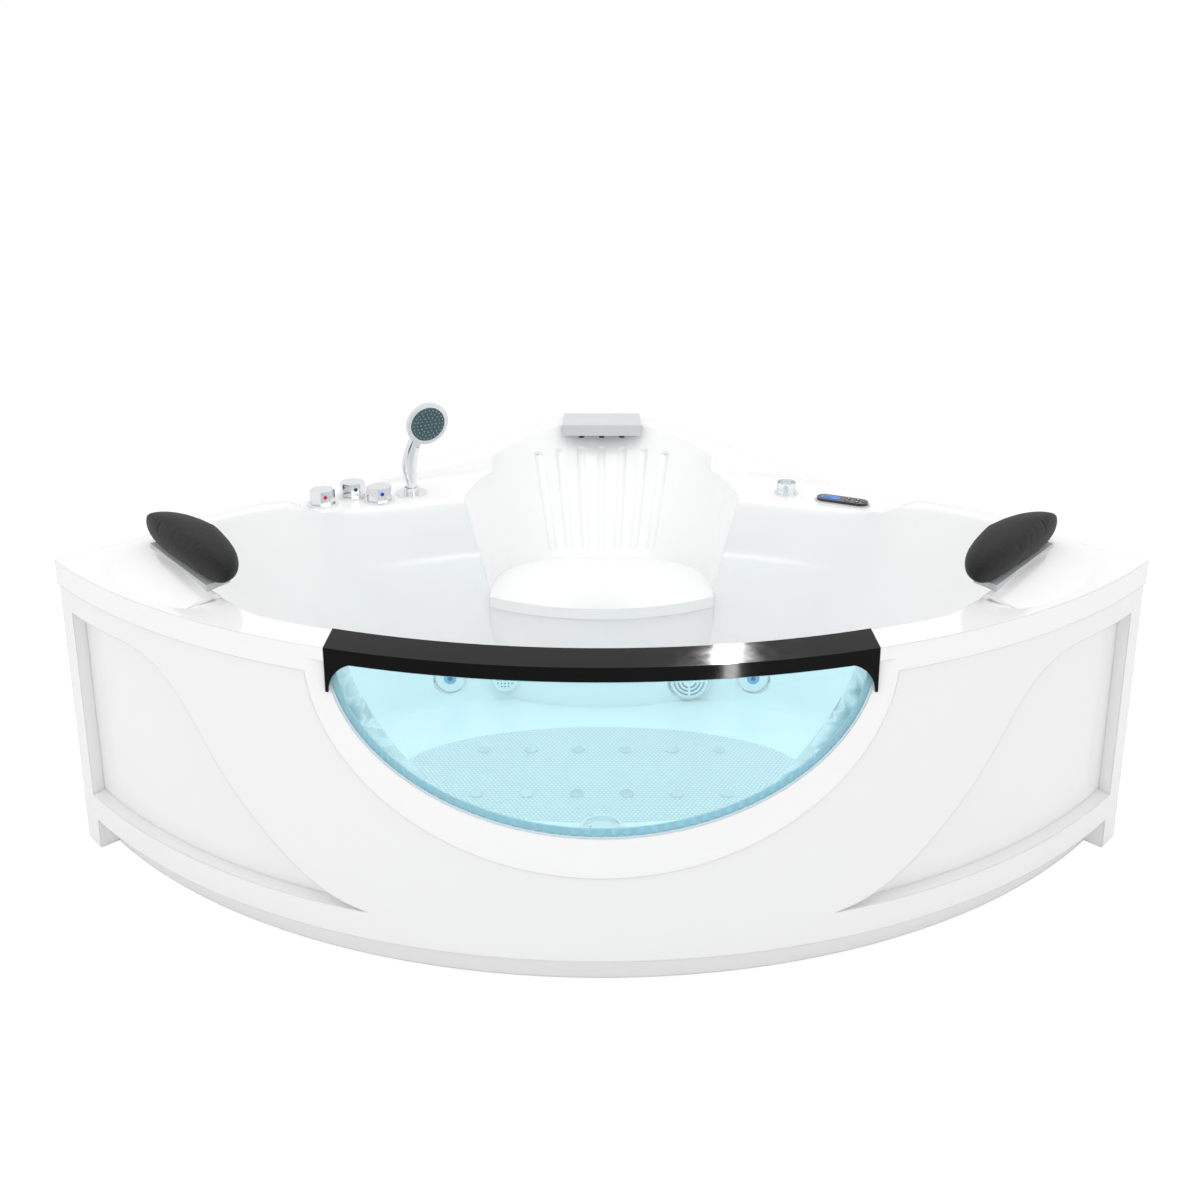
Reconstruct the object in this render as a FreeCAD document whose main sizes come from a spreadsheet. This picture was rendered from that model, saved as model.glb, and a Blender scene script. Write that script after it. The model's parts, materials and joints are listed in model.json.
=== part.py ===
"""Corner jetted bath with a curved glass front, in millimetres.

The bath fits a right-angled room corner. Its back corner points to +Y, its curved front to -Y
and +Z is up. The origin is the bottom centre of the whole object.
"""
import FreeCAD, Part
import math
import os
from FreeCAD import Placement, Rotation, Vector

doc = FreeCAD.newDocument("corner_bath")

SIZES = (
    ("side_length", 1500, "length of each straight side along the walls"),
    ("front_radius", 1442, "radius of the curved front"),
    ("rim_height", 606, "top of the front rim above the ground"),
    ("deck_height", 594, "top of the flat deck that carries the taps"),
    ("corner_height", 647, "top of the raised back corner"),
    ("lip_drop", 48, "depth of the turned-down edge of the rim"),
    ("skin", 7, "thickness of the reinforced acrylic"),
    ("floor_height", 130, "top of the basin floor above the ground"),
    ("front_deck", 75, "width of the front rim from outside to basin"),
    ("edge_round", 15, "rounding of the basin edge"),
    ("seat_height", 375, "top of the corner seat above the ground"),
    ("seat_half", 256, "half of the width of the seat"),
    ("seat_bulge", 70, "bulge of the front of the seat"),
    ("seat_reach", 693, "back corner to the ends of the seat front"),
    ("backrest_foot", 439, "back corner to the foot of the backrest"),
    ("backrest_head", 200, "back corner to the head of the backrest"),
    ("flute_radius", 15, "radius of the round flutes in the backrest"),
    ("flute_depth", 4, "depth of the flutes"),
    ("shoulder_radius", 314, "radius of the raised pad under a headrest"),
    ("shoulder_rise", 40, "height of that pad at its middle"),
    ("window_half", 450, "half of the width of the glass"),
    ("window_drop", 282, "height of the glass below the handrail"),
    ("glass_wall", 8, "thickness of the glass"),
    ("seal_width", 4, "visible width of the glass seal"),
    ("border_side", 42, "width of the window border at the sides"),
    ("border_base", 74, "height of the window border at the bottom"),
    ("rail_half", 455, "half of the length of the handrail"),
    ("rail_height", 25, "thickness of the handrail"),
    ("rail_leg", 54, "drop of the legs of the handrail"),
    ("apron_inset", 4, "apron face behind the edge of the rim"),
    ("apron_wall", 5, "thickness of the apron"),
    ("panel_depth", 26, "depth of the sunk side panels"),
    ("post_width", 58, "width of the end posts"),
    ("kick_height", 62, "height of the toe space"),
    ("kick_inset", 36, "toe panel behind the apron face"),
    ("band_height", 116, "top of the lower band of the apron"),
    ("panel_top", 510, "top of the sunk side panels"),
    ("tube", 30, "width of the square frame tubes"),
    ("foot_height", 60, "underside of the frame above the ground"),
    ("foot_radius", 24, "radius of the foot pads"),
    ("stem_radius", 6, "radius of the foot screws"),
    ("tap_radius", 34, "radius of the tap escutcheons"),
    ("handle_radius", 28, "radius of the tap handles"),
    ("handle_height", 30, "height of the tap handles"),
    ("valve_radius", 14, "radius of the valve bodies under the deck"),
    ("spindle_radius", 5, "radius of the valve spindles"),
    ("knob_radius", 21, "radius of the air knob"),
    ("keypad_length", 116, "length of the keypad"),
    ("keypad_width", 38, "width of the keypad"),
    ("spout_half", 101, "half of the width of the waterfall spout"),
    ("spout_height", 28, "height of the waterfall spout"),
    ("head_radius", 50, "radius of the hand shower head"),
    ("jet_radius", 33, "radius of the water jet rings"),
    ("suction_radius", 48, "radius of the suction cover"),
    ("air_jet_radius", 13, "radius of the floor air jets"),
    ("air_jet_pitch", 100, "distance between the floor air jets"),
    ("drain_radius", 42, "radius of the drain dome"),
    ("drain_bore", 20, "bore of the drain tail"),
    ("motor_radius", 62, "radius of the pump motor"),
    ("volute_radius", 74, "radius of the pump housing"),
    ("pipe_radius", 20, "outer radius of the pump pipes"),
    ("air_pipe_radius", 11, "outer radius of the air pipes"),
    ("supply_radius", 10, "outer radius of the tap water pipes"),
    ("blower_radius", 78, "radius of the air blower"),
    ("blower_height", 150, "height of the air blower"),
    ("pillow_length", 386, "length of a headrest pillow"),
    ("pillow_width", 98, "width of a headrest pillow"),
    ("pillow_thick", 64, "thickness of a headrest pillow"),
    ("air_gap", 0.3, "play between neighbouring curved pieces"),
)

sheet = doc.addObject("Spreadsheet::Sheet", "Sizes")
for row, (alias, value, note) in enumerate(SIZES, start=1):
    sheet.set("A%d" % row, alias)
    sheet.set("B%d" % row, str(value))
    sheet.set("C%d" % row, note)
    sheet.setAlias("B%d" % row, alias)
doc.recompute()


def size(alias):
    """Read one driving size from the sheet."""
    return float(sheet.get(alias))


# ---------------------------------------------------------------- layout derived from the sizes
REF_SIDE = 1500.0
scale = size("side_length") / REF_SIDE
tip_x = size("side_length") / math.sqrt(2)
front_r = size("front_radius")
depth = front_r + tip_x - math.sqrt(front_r ** 2 - tip_x ** 2)
back_y = depth / 2
arc_y = front_r - depth / 2
skin = size("skin")
rim_z = size("rim_height")
deck_z = size("deck_height")
corner_z = size("corner_height")
lip_z = rim_z - size("lip_drop")
floor_z = size("floor_height")
seat_z = size("seat_height")
gap = size("air_gap")
TALL = 1000.0
nodes = []


def from_corner(x, distance, z=0.0):
    """Point at x, the given distance in front of the back corner, scaled with the side length."""
    return Vector(x * scale, back_y - distance * scale, z)


def from_wall(along, inward, z=0.0):
    """Point on the left wall side: along the wall from the corner, inward from the wall."""
    return Vector((inward - along) / math.sqrt(2), back_y - (along + inward) / math.sqrt(2), z)


def mirrored(shape):
    """The same shape on the other side of the symmetry plane."""
    return shape.mirror(Vector(0, 0, 0), Vector(1, 0, 0))


def both(shape):
    """A left-hand shape together with its mirror image."""
    return shape.fuse(mirrored(shape))


# ---------------------------------------------------------------- documents objects
def bind(obj, sizes):
    """Drive properties of a primitive from the sheet."""
    for prop, expression in sizes.items():
        obj.setExpression(prop, expression)
    return obj


def cylinder(label, at, radius, height, axis=Vector(0, 0, 1)):
    """Cylinder primitive driven by expressions."""
    obj = bind(doc.addObject("Part::Cylinder", label), {"Radius": radius, "Height": height})
    obj.Placement = Placement(at, Rotation(Vector(0, 0, 1), axis))
    return obj


def box(label, at, length, width, height, turn=0.0):
    """Box primitive driven by expressions; turn is about +Z, in degrees."""
    obj = bind(doc.addObject("Part::Box", label), {"Length": length, "Width": width, "Height": height})
    obj.Placement = Placement(at, Rotation(Vector(0, 0, 1), turn))
    return obj


def union(label, parts):
    """Boolean union of document objects."""
    obj = doc.addObject("Part::MultiFuse", label)
    obj.Shapes = parts
    return obj


def group(label, parts):
    """Several separate solids of one kind in one node."""
    obj = doc.addObject("Part::Compound", label)
    obj.Links = parts
    return obj


def cut(label, base, tool):
    """Boolean difference of two document objects."""
    obj = doc.addObject("Part::Cut", label)
    obj.Base = base
    obj.Tool = tool
    return obj


def freeform(label, shape):
    """Shape that no primitive can give."""
    obj = doc.addObject("Part::Feature", label)
    obj.Shape = shape
    obj.Placement = Placement()
    return obj


def node(label, obj):
    """Mark an object as a finished piece under its node name."""
    obj.Label = label
    nodes.append((label, obj))
    return obj


# ---------------------------------------------------------------- plan outline and front arcs
def arc_point(radius, angle, z=0.0):
    """Point on the front arc; the angle is counted from straight ahead, left is negative."""
    turn = math.radians(angle)
    return Vector(radius * math.sin(turn), arc_y - radius * math.cos(turn), z)


def outline(inset, bottom, top):
    """Prism of the plan outline: two straight sides and the curved front, all moved inward."""
    radius = front_r - inset
    corner = back_y - inset * math.sqrt(2)
    reach = corner - arc_y
    side_x = (reach + math.sqrt(2 * radius ** 2 - reach ** 2)) / 2
    left = Vector(-side_x, corner - side_x, bottom)
    right = Vector(side_x, corner - side_x, bottom)
    back = Vector(0, corner, bottom)
    edges = [
        Part.makeLine(back, left),
        Part.Arc(left, Vector(0, arc_y - radius, bottom), right).toShape(),
        Part.makeLine(right, back),
    ]
    return Part.Face(Part.Wire(edges)).extrude(Vector(0, 0, top - bottom))


def ring(inner, outer, bottom, top):
    """Full ring about the axis of the curved front."""
    base = Vector(0, arc_y, bottom)
    height = top - bottom
    return Part.makeCylinder(outer, height, base).cut(Part.makeCylinder(inner, height, base))


def front_ring(inner, outer, bottom, top, inset=0.0):
    """Part of that ring that lies inside the plan outline."""
    return ring(inner, outer, bottom, top).common(outline(inset, bottom, top))


def ellipse_points(half_width, drop, radius=None, y=None):
    """Points of the window ellipse, either on a front cylinder or on a plane of constant y."""
    top = rim_z - size("rail_height")
    points = []
    for step in range(40):
        turn = 2 * math.pi * step / 40
        x = half_width * math.cos(turn)
        z = top + drop * math.sin(turn)
        place = y if radius is None else arc_y - math.sqrt(radius ** 2 - x ** 2)
        points.append(Vector(x, place, z))
    return points


def closed_curve(points):
    """Smooth closed wire through the points."""
    curve = Part.BSplineCurve()
    curve.interpolate(Points=points, PeriodicFlag=True)
    return Part.Wire(curve.toShape())


def ellipse_prism(half_width, drop, y_from=-2000.0, y_to=0.0):
    """Elliptical bar along Y about the window centre, cut off at the underside of the handrail."""
    top = rim_z - size("rail_height")
    curve = Part.Ellipse(Vector(0, y_from, top), max(half_width, drop), min(half_width, drop))
    edge = curve.toShape()
    edge.rotate(Vector(0, y_from, top), Vector(1, 0, 0), 90)
    bar = Part.Face(Part.Wire(edge)).extrude(Vector(0, y_to - y_from, 0))
    lower = Part.makeBox(4000, 4000, top, Vector(-2000, -3000, 0))
    return bar.common(lower)


# ---------------------------------------------------------------- rim heights and basin outlines
STEP_START = 745.0
STEP_END = 775.0
CREST_END = 215.0
LOW_DECK_END = 961.0
BACK_ZONE = 913.0
shoulder = from_corner(-640, 994)
shoulder_r = size("shoulder_radius") * scale
shoulder_rise = size("shoulder_rise")
shoulder_ball = (shoulder_r ** 2 + shoulder_rise ** 2) / (2 * shoulder_rise)
raised_wall = from_wall(STEP_END * scale, 0)
raised_niche = from_corner(-285, 433)


def rim_level(x, y):
    """Height of the rim surface at a point of the plan."""
    side = -abs(x)
    along = (back_y - y - side) / math.sqrt(2) / scale
    level = rim_z if y < back_y - BACK_ZONE * scale else deck_z
    line_y = raised_wall.y + (side - raised_wall.x) * (
        (raised_niche.y - raised_wall.y) / (raised_niche.x - raised_wall.x))
    if y > line_y and along < STEP_END:
        fall = (along - CREST_END) / (STEP_END - CREST_END)
        level = corner_z - (corner_z - deck_z) * max(0.0, fall)
    reach = math.hypot(side - shoulder.x, y - shoulder.y)
    if reach < shoulder_r and along > LOW_DECK_END:
        cap = math.sqrt(shoulder_ball ** 2 - reach ** 2) - shoulder_ball + shoulder_rise
        level = max(level, rim_z + cap)
    return level


# Basin stations on the left half, front centre to back centre: rim (x, from corner), floor (x, from corner)
FRONT_ANGLES = (0.0, 8.0, 16.0, 24.0)
FLOOR_FRONT = ((0, 1338), (165, 1328), (312, 1293), (418, 1232))
RIM_SIDE = ((606, 1305), (652, 1273), (747, 1181), (815, 1078), (850, 975), (846, 921), (788, 866), (703, 786),
            (628, 741), (560, 732), (480, 708), (400, 678), (335, 650), (240, 638), (120, 634), (0, 634))
FLOOR_SIDE = ((452, 1197), (482, 1152), (508, 1094), (520, 1026), (516, 956), (505, 903), (489, 860), (464, 815),
              (437, 785), (408, 765), (368, 748), (325, 731), (282, 716), (200, 706), (100, 702), (0, 702))
# share of the wall height against share of the way from floor outline to rim outline
WALL_FORM = ((0.0, 0.0), (0.012, 0.075), (0.045, 0.135), (0.11, 0.195), (0.3, 0.36), (0.6, 0.64), (0.725, 0.755),
             (0.738, 0.767), (0.75, 0.778), (0.765, 0.79), (0.93, 0.945))
# armrest ledge beside the seat: rise it starts at, way it steps back, and the half widths that it spans
LEDGE_RISE = 0.745
LEDGE_STEP = 0.1
LEDGE_END = 520.0
LEDGE_FULL = 440.0
LEDGE_REACH = 760.0


def whole_loop(half):
    """Close a left-hand list of points with its mirror image."""
    right = [Vector(-p.x, p.y, p.z) for p in half[1:-1]]
    return half + right[::-1]


def normals(points):
    """Outward unit normals in plan of a closed loop that runs front, left, back, right."""
    count = len(points)
    result = []
    for index in range(count):
        step = points[(index + 1) % count] - points[index - 1]
        normal = Vector(-step.y, step.x, 0)
        normal.normalize()
        result.append(normal)
    return result


def rim_loop():
    """Basin edge at the rim, before rounding."""
    inner = front_r - size("front_deck")
    front = [arc_point(inner, -angle) for angle in FRONT_ANGLES]
    return whole_loop(front + [from_corner(-x, d) for x, d in RIM_SIDE])


def floor_loop():
    """Edge of the basin floor."""
    return whole_loop([from_corner(-x, d) for x, d in FLOOR_FRONT + FLOOR_SIDE])


NICHE_FRONT = 660
SEAT_FORM = 2.7
HEAD_FORM = 1.8
HEAD_SPREAD = 62


def bulge(share, power):
    """Height of a flattened half round of that power at a share of its half width."""
    return (1 - min(1.0, abs(share)) ** power) ** (1 / power)


def niche_loop(half_width, reach, flare, z, power):
    """Plan of the seat niche at one height: a flattened half round that opens to the front."""
    front_y = from_corner(0, NICHE_FRONT).y
    back = from_corner(0, reach).y - front_y + flare
    points = []
    for step in range(36):
        turn = 2 * math.pi * step / 36
        share = -math.sin(turn)
        deep = back if math.cos(turn) < 0 else -90
        points.append(Vector(share * (half_width + flare), front_y + deep * bulge(share, power), z))
    return points


# rounding of the basin edge: depth below the rim surface against share of the rounding
EDGE_FORM = ((16.0, 0.0), (7.0, 0.22), (2.0, 0.6), (-1.0, 1.0), (-6.0, 1.25), (-15.0, 1.4), (-32.0, 1.5))


def loft(loops):
    """Solid with straight sides through a stack of closed loops."""
    solid = Part.makeLoft([closed_curve(points) for points in loops], True, True)
    if solid.Volume < 0:
        solid.reverse()
    return solid


def moulded(loops):
    """Solid with a smooth side that follows a stack of closed loops as its control net."""
    around, up = len(loops[0]), len(loops)
    poles = [[loops[row][column] for row in range(up)] for column in range(around)]
    surface = Part.BSplineSurface()
    surface.buildFromPolesMultsKnots(
        poles, [1] * (around + 1), [4] + [1] * (up - 4) + [4],
        [float(knot) for knot in range(around + 1)], [float(knot) for knot in range(up - 2)],
        True, False, 3, 3)
    caps = [Part.Face(Part.Wire(surface.vIso(value).toShape())) for value in (0.0, float(up - 3))]
    shell = Part.makeShell([surface.toShape()] + caps)
    shell.sewShape()
    solid = Part.makeSolid(shell)
    if solid.Volume < 0:
        solid.reverse()
    return solid


def armrest_step(high):
    """Share of the way by which the wall steps back above the armrest ledge at a rim station."""
    if high.y < from_corner(0, LEDGE_REACH).y:
        return 0.0
    share = (LEDGE_END * scale - abs(high.x)) / ((LEDGE_END - LEDGE_FULL) * scale)
    return LEDGE_STEP * max(0.0, min(1.0, share))


def main_basin(wall):
    """Water space of the main basin, or its outside when wall is the skin thickness."""
    rim = rim_loop()
    floor = floor_loop()
    outward = normals(rim)
    flat = floor_z - wall
    loops = []
    for rise, share in WALL_FORM:
        loop = []
        for low, high, normal in zip(floor, rim, outward):
            way = share + (armrest_step(high) if LEDGE_RISE < rise < 0.9 else 0.0)
            point = low + (high - low) * way + normal * wall
            point.z = flat + (rim_level(high.x, high.y) - 16 - floor_z) * rise
            loop.append(point)
        loops.append(loop)
    for below, flare in EDGE_FORM:
        loop = []
        for high, normal in zip(rim, outward):
            point = high + normal * (wall + flare * size("edge_round"))
            point.z = rim_level(high.x, high.y) - below - wall
            loop.append(point)
        loops.append(loop)
    top = []
    for high, normal in zip(rim, outward):
        point = high + normal * (wall + 1.55 * size("edge_round"))
        point.z = corner_z + 60
        top.append(point)
    loops.append(top)
    return moulded(loops)


def niche_basin(wall):
    """Water space above the seat, or its outside when wall is the skin thickness."""
    top_z = corner_z + 60
    foot = size("backrest_foot")
    head = size("backrest_head")
    half = size("seat_half") * scale
    grow = (top_z - seat_z) / (rim_z - seat_z)
    low = niche_loop(half, foot, wall, seat_z - wall, SEAT_FORM)
    high = niche_loop(half + HEAD_SPREAD * scale * grow, foot - (foot - head) * grow, wall, top_z, HEAD_FORM)
    return loft([low, high])


# ---------------------------------------------------------------- top of the rim
def half_space_left():
    """Everything on the left of the symmetry plane."""
    return Part.makeBox(2000, 4000, 2000, Vector(-2000, -2000, -500))


def raised_corner(drop, bottom):
    """Raised back corner of the left half, sloping down along the wall."""
    profile = [(-40, bottom), (-40, corner_z - drop), (CREST_END * scale, corner_z - drop),
               (STEP_START * scale, deck_z + 7 - drop), (STEP_END * scale, deck_z - drop - 1),
               (STEP_END * scale, bottom)]
    points = [from_wall(along, -60, z) for along, z in profile]
    face = Part.Face(Part.makePolygon(points + points[:1]))
    wedge = face.extrude(from_wall(0, 900) - from_wall(0, 0))
    direction = (raised_niche - raised_wall)
    direction.normalize()
    back = Vector(-direction.y, direction.x, 0)
    start = raised_wall - direction * 600
    length = direction * 1800
    low = deck_z - drop
    corners = [
        start + Vector(0, 0, bottom),
        start + Vector(0, 0, low),
        start + back * 34 + Vector(0, 0, low + 60),
        start + back * 900 + Vector(0, 0, low + 60),
        start + back * 900 + Vector(0, 0, bottom),
    ]
    behind = Part.Face(Part.makePolygon(corners + corners[:1])).extrude(length)
    return wedge.common(behind).common(half_space_left())


def shoulder_pad(drop, bottom):
    """Raised round pad under the left headrest."""
    centre = shoulder + Vector(0, 0, rim_z + shoulder_rise - shoulder_ball - drop)
    ball = Part.makeSphere(shoulder_ball, centre)
    keep = Part.makeCylinder(shoulder_r + 60, TALL, shoulder + Vector(0, 0, bottom))
    pad = ball.common(keep)
    foot = from_wall(LOW_DECK_END * scale, -200)
    across = from_wall(0, 600) - from_wall(0, 0)
    away = from_wall(1, 0) - from_wall(0, 0)
    low = deck_z - drop
    corners = [
        foot + Vector(0, 0, bottom),
        foot + Vector(0, 0, low),
        foot + away * 60 + Vector(0, 0, low + 30),
        foot + away * 200 + Vector(0, 0, low + 120),
        foot + away * 900 + Vector(0, 0, low + 120),
        foot + away * 900 + Vector(0, 0, bottom),
    ]
    region = Part.Face(Part.makePolygon(corners + corners[:1])).extrude(across)
    return pad.common(region)


def rim_body(drop, inset, bottom):
    """Everything below the rim surface; drop lowers the surface, inset moves the outline inward."""
    split_y = back_y - BACK_ZONE * scale
    front = outline(inset, bottom, rim_z - drop).common(
        Part.makeBox(4000, 2000, 2000, Vector(-2000, split_y - 2000, 0)))
    back = outline(inset, bottom, deck_z - drop).common(
        Part.makeBox(4000, 2000, 2000, Vector(-2000, split_y, 0)))
    extra = both(raised_corner(drop, bottom)).fuse(both(shoulder_pad(drop, bottom)))
    extra = extra.common(outline(inset, bottom, TALL))
    return front.fuse([back, extra])


def seat_block(wall):
    """Block that carries the seat; wall shrinks it for the dry side."""
    half = size("seat_half") * scale - wall
    end_y = from_corner(0, size("seat_reach")).y + wall
    front_y = end_y - size("seat_bulge")
    rear_y = from_corner(0, size("backrest_foot") - 120).y
    nose = 12.0

    def slab(inward, bottom, top):
        left = Vector(-half, end_y + inward, bottom)
        right = Vector(half, end_y + inward, bottom)
        edges = [
            Part.Arc(left, Vector(0, front_y + inward, bottom), right).toShape(),
            Part.makeLine(right, Vector(half, rear_y, bottom)),
            Part.makeLine(Vector(half, rear_y, bottom), Vector(-half, rear_y, bottom)),
            Part.makeLine(Vector(-half, rear_y, bottom), left),
        ]
        return Part.Face(Part.Wire(edges)).extrude(Vector(0, 0, top - bottom))

    plate_z = seat_z - 26
    if wall:
        return slab(nose, floor_z - 60, seat_z - wall)
    return slab(nose, floor_z - 60, plate_z + 1).fuse(slab(0, plate_z, seat_z))


def backrest_point(x, share):
    """Point of the backrest surface at x, share 0 at the seat and 1 at rim height."""
    top_share = (corner_z + 60 - seat_z) / (rim_z - seat_z)
    way = share / top_share
    foot = size("backrest_foot")
    head = foot - (foot - size("backrest_head")) * top_share
    half = (size("seat_half") + HEAD_SPREAD * share) * scale
    front_y = from_corner(0, NICHE_FRONT).y
    low = (from_corner(0, foot).y - front_y) * bulge(x / half, SEAT_FORM)
    high = (from_corner(0, head).y - front_y) * bulge(x / half, HEAD_FORM)
    return Vector(x, front_y + low * (1 - way) + high * way, seat_z + (rim_z - seat_z) * share)


def flute_cutters():
    """Seven shallow flutes that fan out up the backrest."""
    radius = size("flute_radius")
    lift = radius - size("flute_depth")
    slope = backrest_point(0, 0.9) - backrest_point(0, 0.1)
    outward = Vector(0, -slope.z, slope.y)
    outward.normalize()
    cutters = []
    for index in range(-3, 4):
        low, middle, high = [backrest_point((38.0 + 15.0 * share) * index * scale, share) + outward * lift
                             for share in (0.09, 0.5, 0.95)]
        bow = (middle - (low + high) * 0.5) * 0.5
        low, high = low + bow, high + bow
        along = high - low
        bar = Part.makeCylinder(radius, along.Length, low, along)
        foot = Part.makeCone(radius, radius * 0.4, radius * 0.7, low, -along)
        head = Part.makeCone(radius, radius * 0.4, radius * 0.7, high, along)
        cutters.append(bar.fuse([foot, head]))
    return cutters


# ---------------------------------------------------------------- window
window_top = rim_z - size("rail_height")
glass_in = front_r - 14.0
glass_out = glass_in + size("glass_wall") - 2.0
seal_w = size("seal_width")
tunnel_w = size("window_half") - 12
tunnel_d = size("window_drop") - 12
border_w = size("window_half") + size("border_side")
border_d = size("window_drop") + size("border_base")


def window_cutter():
    """Tunnel through the basin front that opens in a wide bevel to the face of the border."""
    face_w = size("window_half") + seal_w
    face_d = size("window_drop") + seal_w
    loops = [
        ellipse_points(face_w, face_d, y=arc_y - front_r + 150),
        ellipse_points(face_w, face_d, radius=glass_out + 1),
        ellipse_points(border_w - 5, border_d - 6, radius=front_r + 0.5),
        ellipse_points(border_w - 5, border_d - 6, y=arc_y - front_r - 90),
    ]
    shelf = ring(glass_in - 3, front_r + 200, 0, TALL)
    under_rail = Part.makeBox(4000, 3000, window_top, Vector(-2000, -2500, 0))
    bevel = loft(loops).common(shelf).common(under_rail)
    upper = Part.makeBox(4000, 3000, window_top - skin, Vector(-2000, -2500, 0))
    tunnel = ellipse_prism(tunnel_w, tunnel_d).common(upper)
    return tunnel.common(ring(front_r - 330, front_r + 10, 0, TALL)).fuse(bevel)


def rail_shape():
    """Handrail: a flat curved bar with a pointed leg at each end."""
    half = size("rail_half")
    inner = front_r - size("front_deck") + 3
    bar = ring(inner, front_r, window_top, rim_z).common(
        Part.makeBox(2 * half, 2000, 200, Vector(-half, -2000 + arc_y - 400, window_top)))
    leg_z = window_top - size("rail_leg")
    round_x = half - 44
    edges = [
        Part.makeLine(Vector(-half, -1500, window_top + 1), Vector(-half, -1500, leg_z)),
        Part.makeLine(Vector(-half, -1500, leg_z), Vector(5 - half, -1500, leg_z)),
        Part.Arc(Vector(5 - half, -1500, leg_z), Vector(-half + 17, -1500, window_top - 20),
                 Vector(-round_x, -1500, window_top)).toShape(),
        Part.makeLine(Vector(-round_x, -1500, window_top), Vector(-round_x, -1500, window_top + 1)),
        Part.makeLine(Vector(-round_x, -1500, window_top + 1), Vector(-half, -1500, window_top + 1)),
    ]
    leg = Part.Face(Part.Wire(edges)).extrude(Vector(0, 1400, 0))
    leg = leg.common(ring(glass_out + 1.5, front_r, leg_z - 5, window_top + 5))
    return bar.fuse(both(leg)).removeSplitter()


# ---------------------------------------------------------------- fittings: where the shell is pierced
hot_tap = from_wall(925 * scale, 42, deck_z)
diverter_tap = from_wall(845 * scale, 42, deck_z)
cold_tap = from_corner(-502, 660, deck_z)
shower_base = from_corner(-438, 606, deck_z)
air_knob = from_corner(424, 607, deck_z)
keypad_mid = from_corner(541, 672, deck_z)
KEYPAD_TURN = -26.0
taps = (("hot", hot_tap), ("diverter", diverter_tap), ("cold", cold_tap))
spout_feed = from_corner(0, 133, corner_z)
drain_mid = from_corner(0, 1229, floor_z)
jet_y = from_corner(0, 717).y
jet_left = Vector(-347 * scale, jet_y, 188)
jet_right = Vector(347 * scale, jet_y, 188)
strainer = Vector(-222 * scale, from_corner(0, 715).y, 182)
suction = Vector(200 * scale, from_corner(0, 720).y, 184)
BACKWARD = Vector(0, 1, 0)
pitch = size("air_jet_pitch")
row_y = (from_corner(0, 942).y, from_corner(0, 1113).y)
air_jets = [Vector(pitch * (column - 2.5), y, floor_z) for y in row_y for column in range(6)]
FACES = ((jet_left, size("jet_radius") + 5, 24.0), (jet_right, size("jet_radius") + 5, 24.0),
         (strainer, 33.0, 20.0), (suction, size("suction_radius") + 3, 30.0))


def fitting_cutters():
    """Bores for everything that passes through the shell."""
    bores = []
    for _, place in taps:
        bores.append(Part.makeCylinder(size("valve_radius") - 3 + gap, 60, place - Vector(0, 0, 40)))
    bores.append(Part.makeCylinder(13 + gap, 60, shower_base - Vector(0, 0, 40)))
    bores.append(Part.makeCylinder(11 + gap, 60, air_knob - Vector(0, 0, 40)))
    bores.append(Part.makeCylinder(12 + gap, 60, keypad_mid - Vector(0, 0, 40)))
    bores.append(Part.makeCylinder(size("supply_radius") + gap, 60, spout_feed - Vector(0, 0, 40)))
    bores.append(Part.makeCylinder(size("drain_bore") + 6 + gap, 60, drain_mid - Vector(0, 0, 40)))
    for place in air_jets:
        bores.append(Part.makeCylinder(7 + gap, 40, place - Vector(0, 0, 30)))
    for place, _, bore in FACES:
        bores.append(Part.makeCylinder(bore + gap, 90, place - BACKWARD * 20, BACKWARD))
    return bores


def tub_shape():
    """The whole acrylic shell: rim, basin, seat, backrest, shoulders and window border."""
    outer_rim = rim_body(0, 0, lip_z)
    pocket = rim_body(skin, skin, lip_z - 40)
    envelope = rim_body(0, 0, floor_z - 60)
    water = main_basin(0).fuse(niche_basin(0)).cut(seat_block(0))
    outside = main_basin(skin).fuse(niche_basin(skin)).common(envelope).cut(seat_block(skin))
    tunnel = ellipse_prism(tunnel_w + skin, tunnel_d + skin).common(
        front_ring(front_r - 330, front_r - 10, 60, window_top))
    drop = ellipse_prism(border_w, border_d).common(front_ring(glass_in - 10, front_r, 60, window_top))
    bosses = [Part.makeCylinder(radius, 60, place, BACKWARD) for place, radius, _ in FACES]
    backs = [Part.makeCylinder(radius, 200, place + BACKWARD * (skin + 1), BACKWARD)
             for place, radius, _ in FACES]
    shell = outer_rim.cut(pocket).fuse([outside, tunnel, drop])
    shell = shell.cut(water)
    flats = [Part.makeCylinder(radius - 1, 30, place, -BACKWARD) for place, radius, _ in FACES]
    shell = shell.fuse(bosses).cut(backs).cut(flats)
    shell = shell.cut(window_cutter())
    shell = shell.cut(ring(front_r - size("front_deck") - 40, front_r + 5, window_top, rim_z + 30).common(
        Part.makeBox(2 * size("rail_half"), 2000, 200, Vector(-size("rail_half"), arc_y - 2400, window_top))))
    shell = shell.cut(rail_shape())
    shell = shell.cut(flute_cutters())
    return shell.cut(fitting_cutters())


# ---------------------------------------------------------------- shapes placed along a wall
def wall_box(along, inward, bottom, top):
    """Upright box in the frame of the left wall; along and inward are (from, to) pairs."""
    corners = [from_wall(along[0], inward[0], bottom), from_wall(along[1], inward[0], bottom),
               from_wall(along[1], inward[1], bottom), from_wall(along[0], inward[1], bottom)]
    return Part.Face(Part.makePolygon(corners + corners[:1])).extrude(Vector(0, 0, top - bottom))


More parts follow.
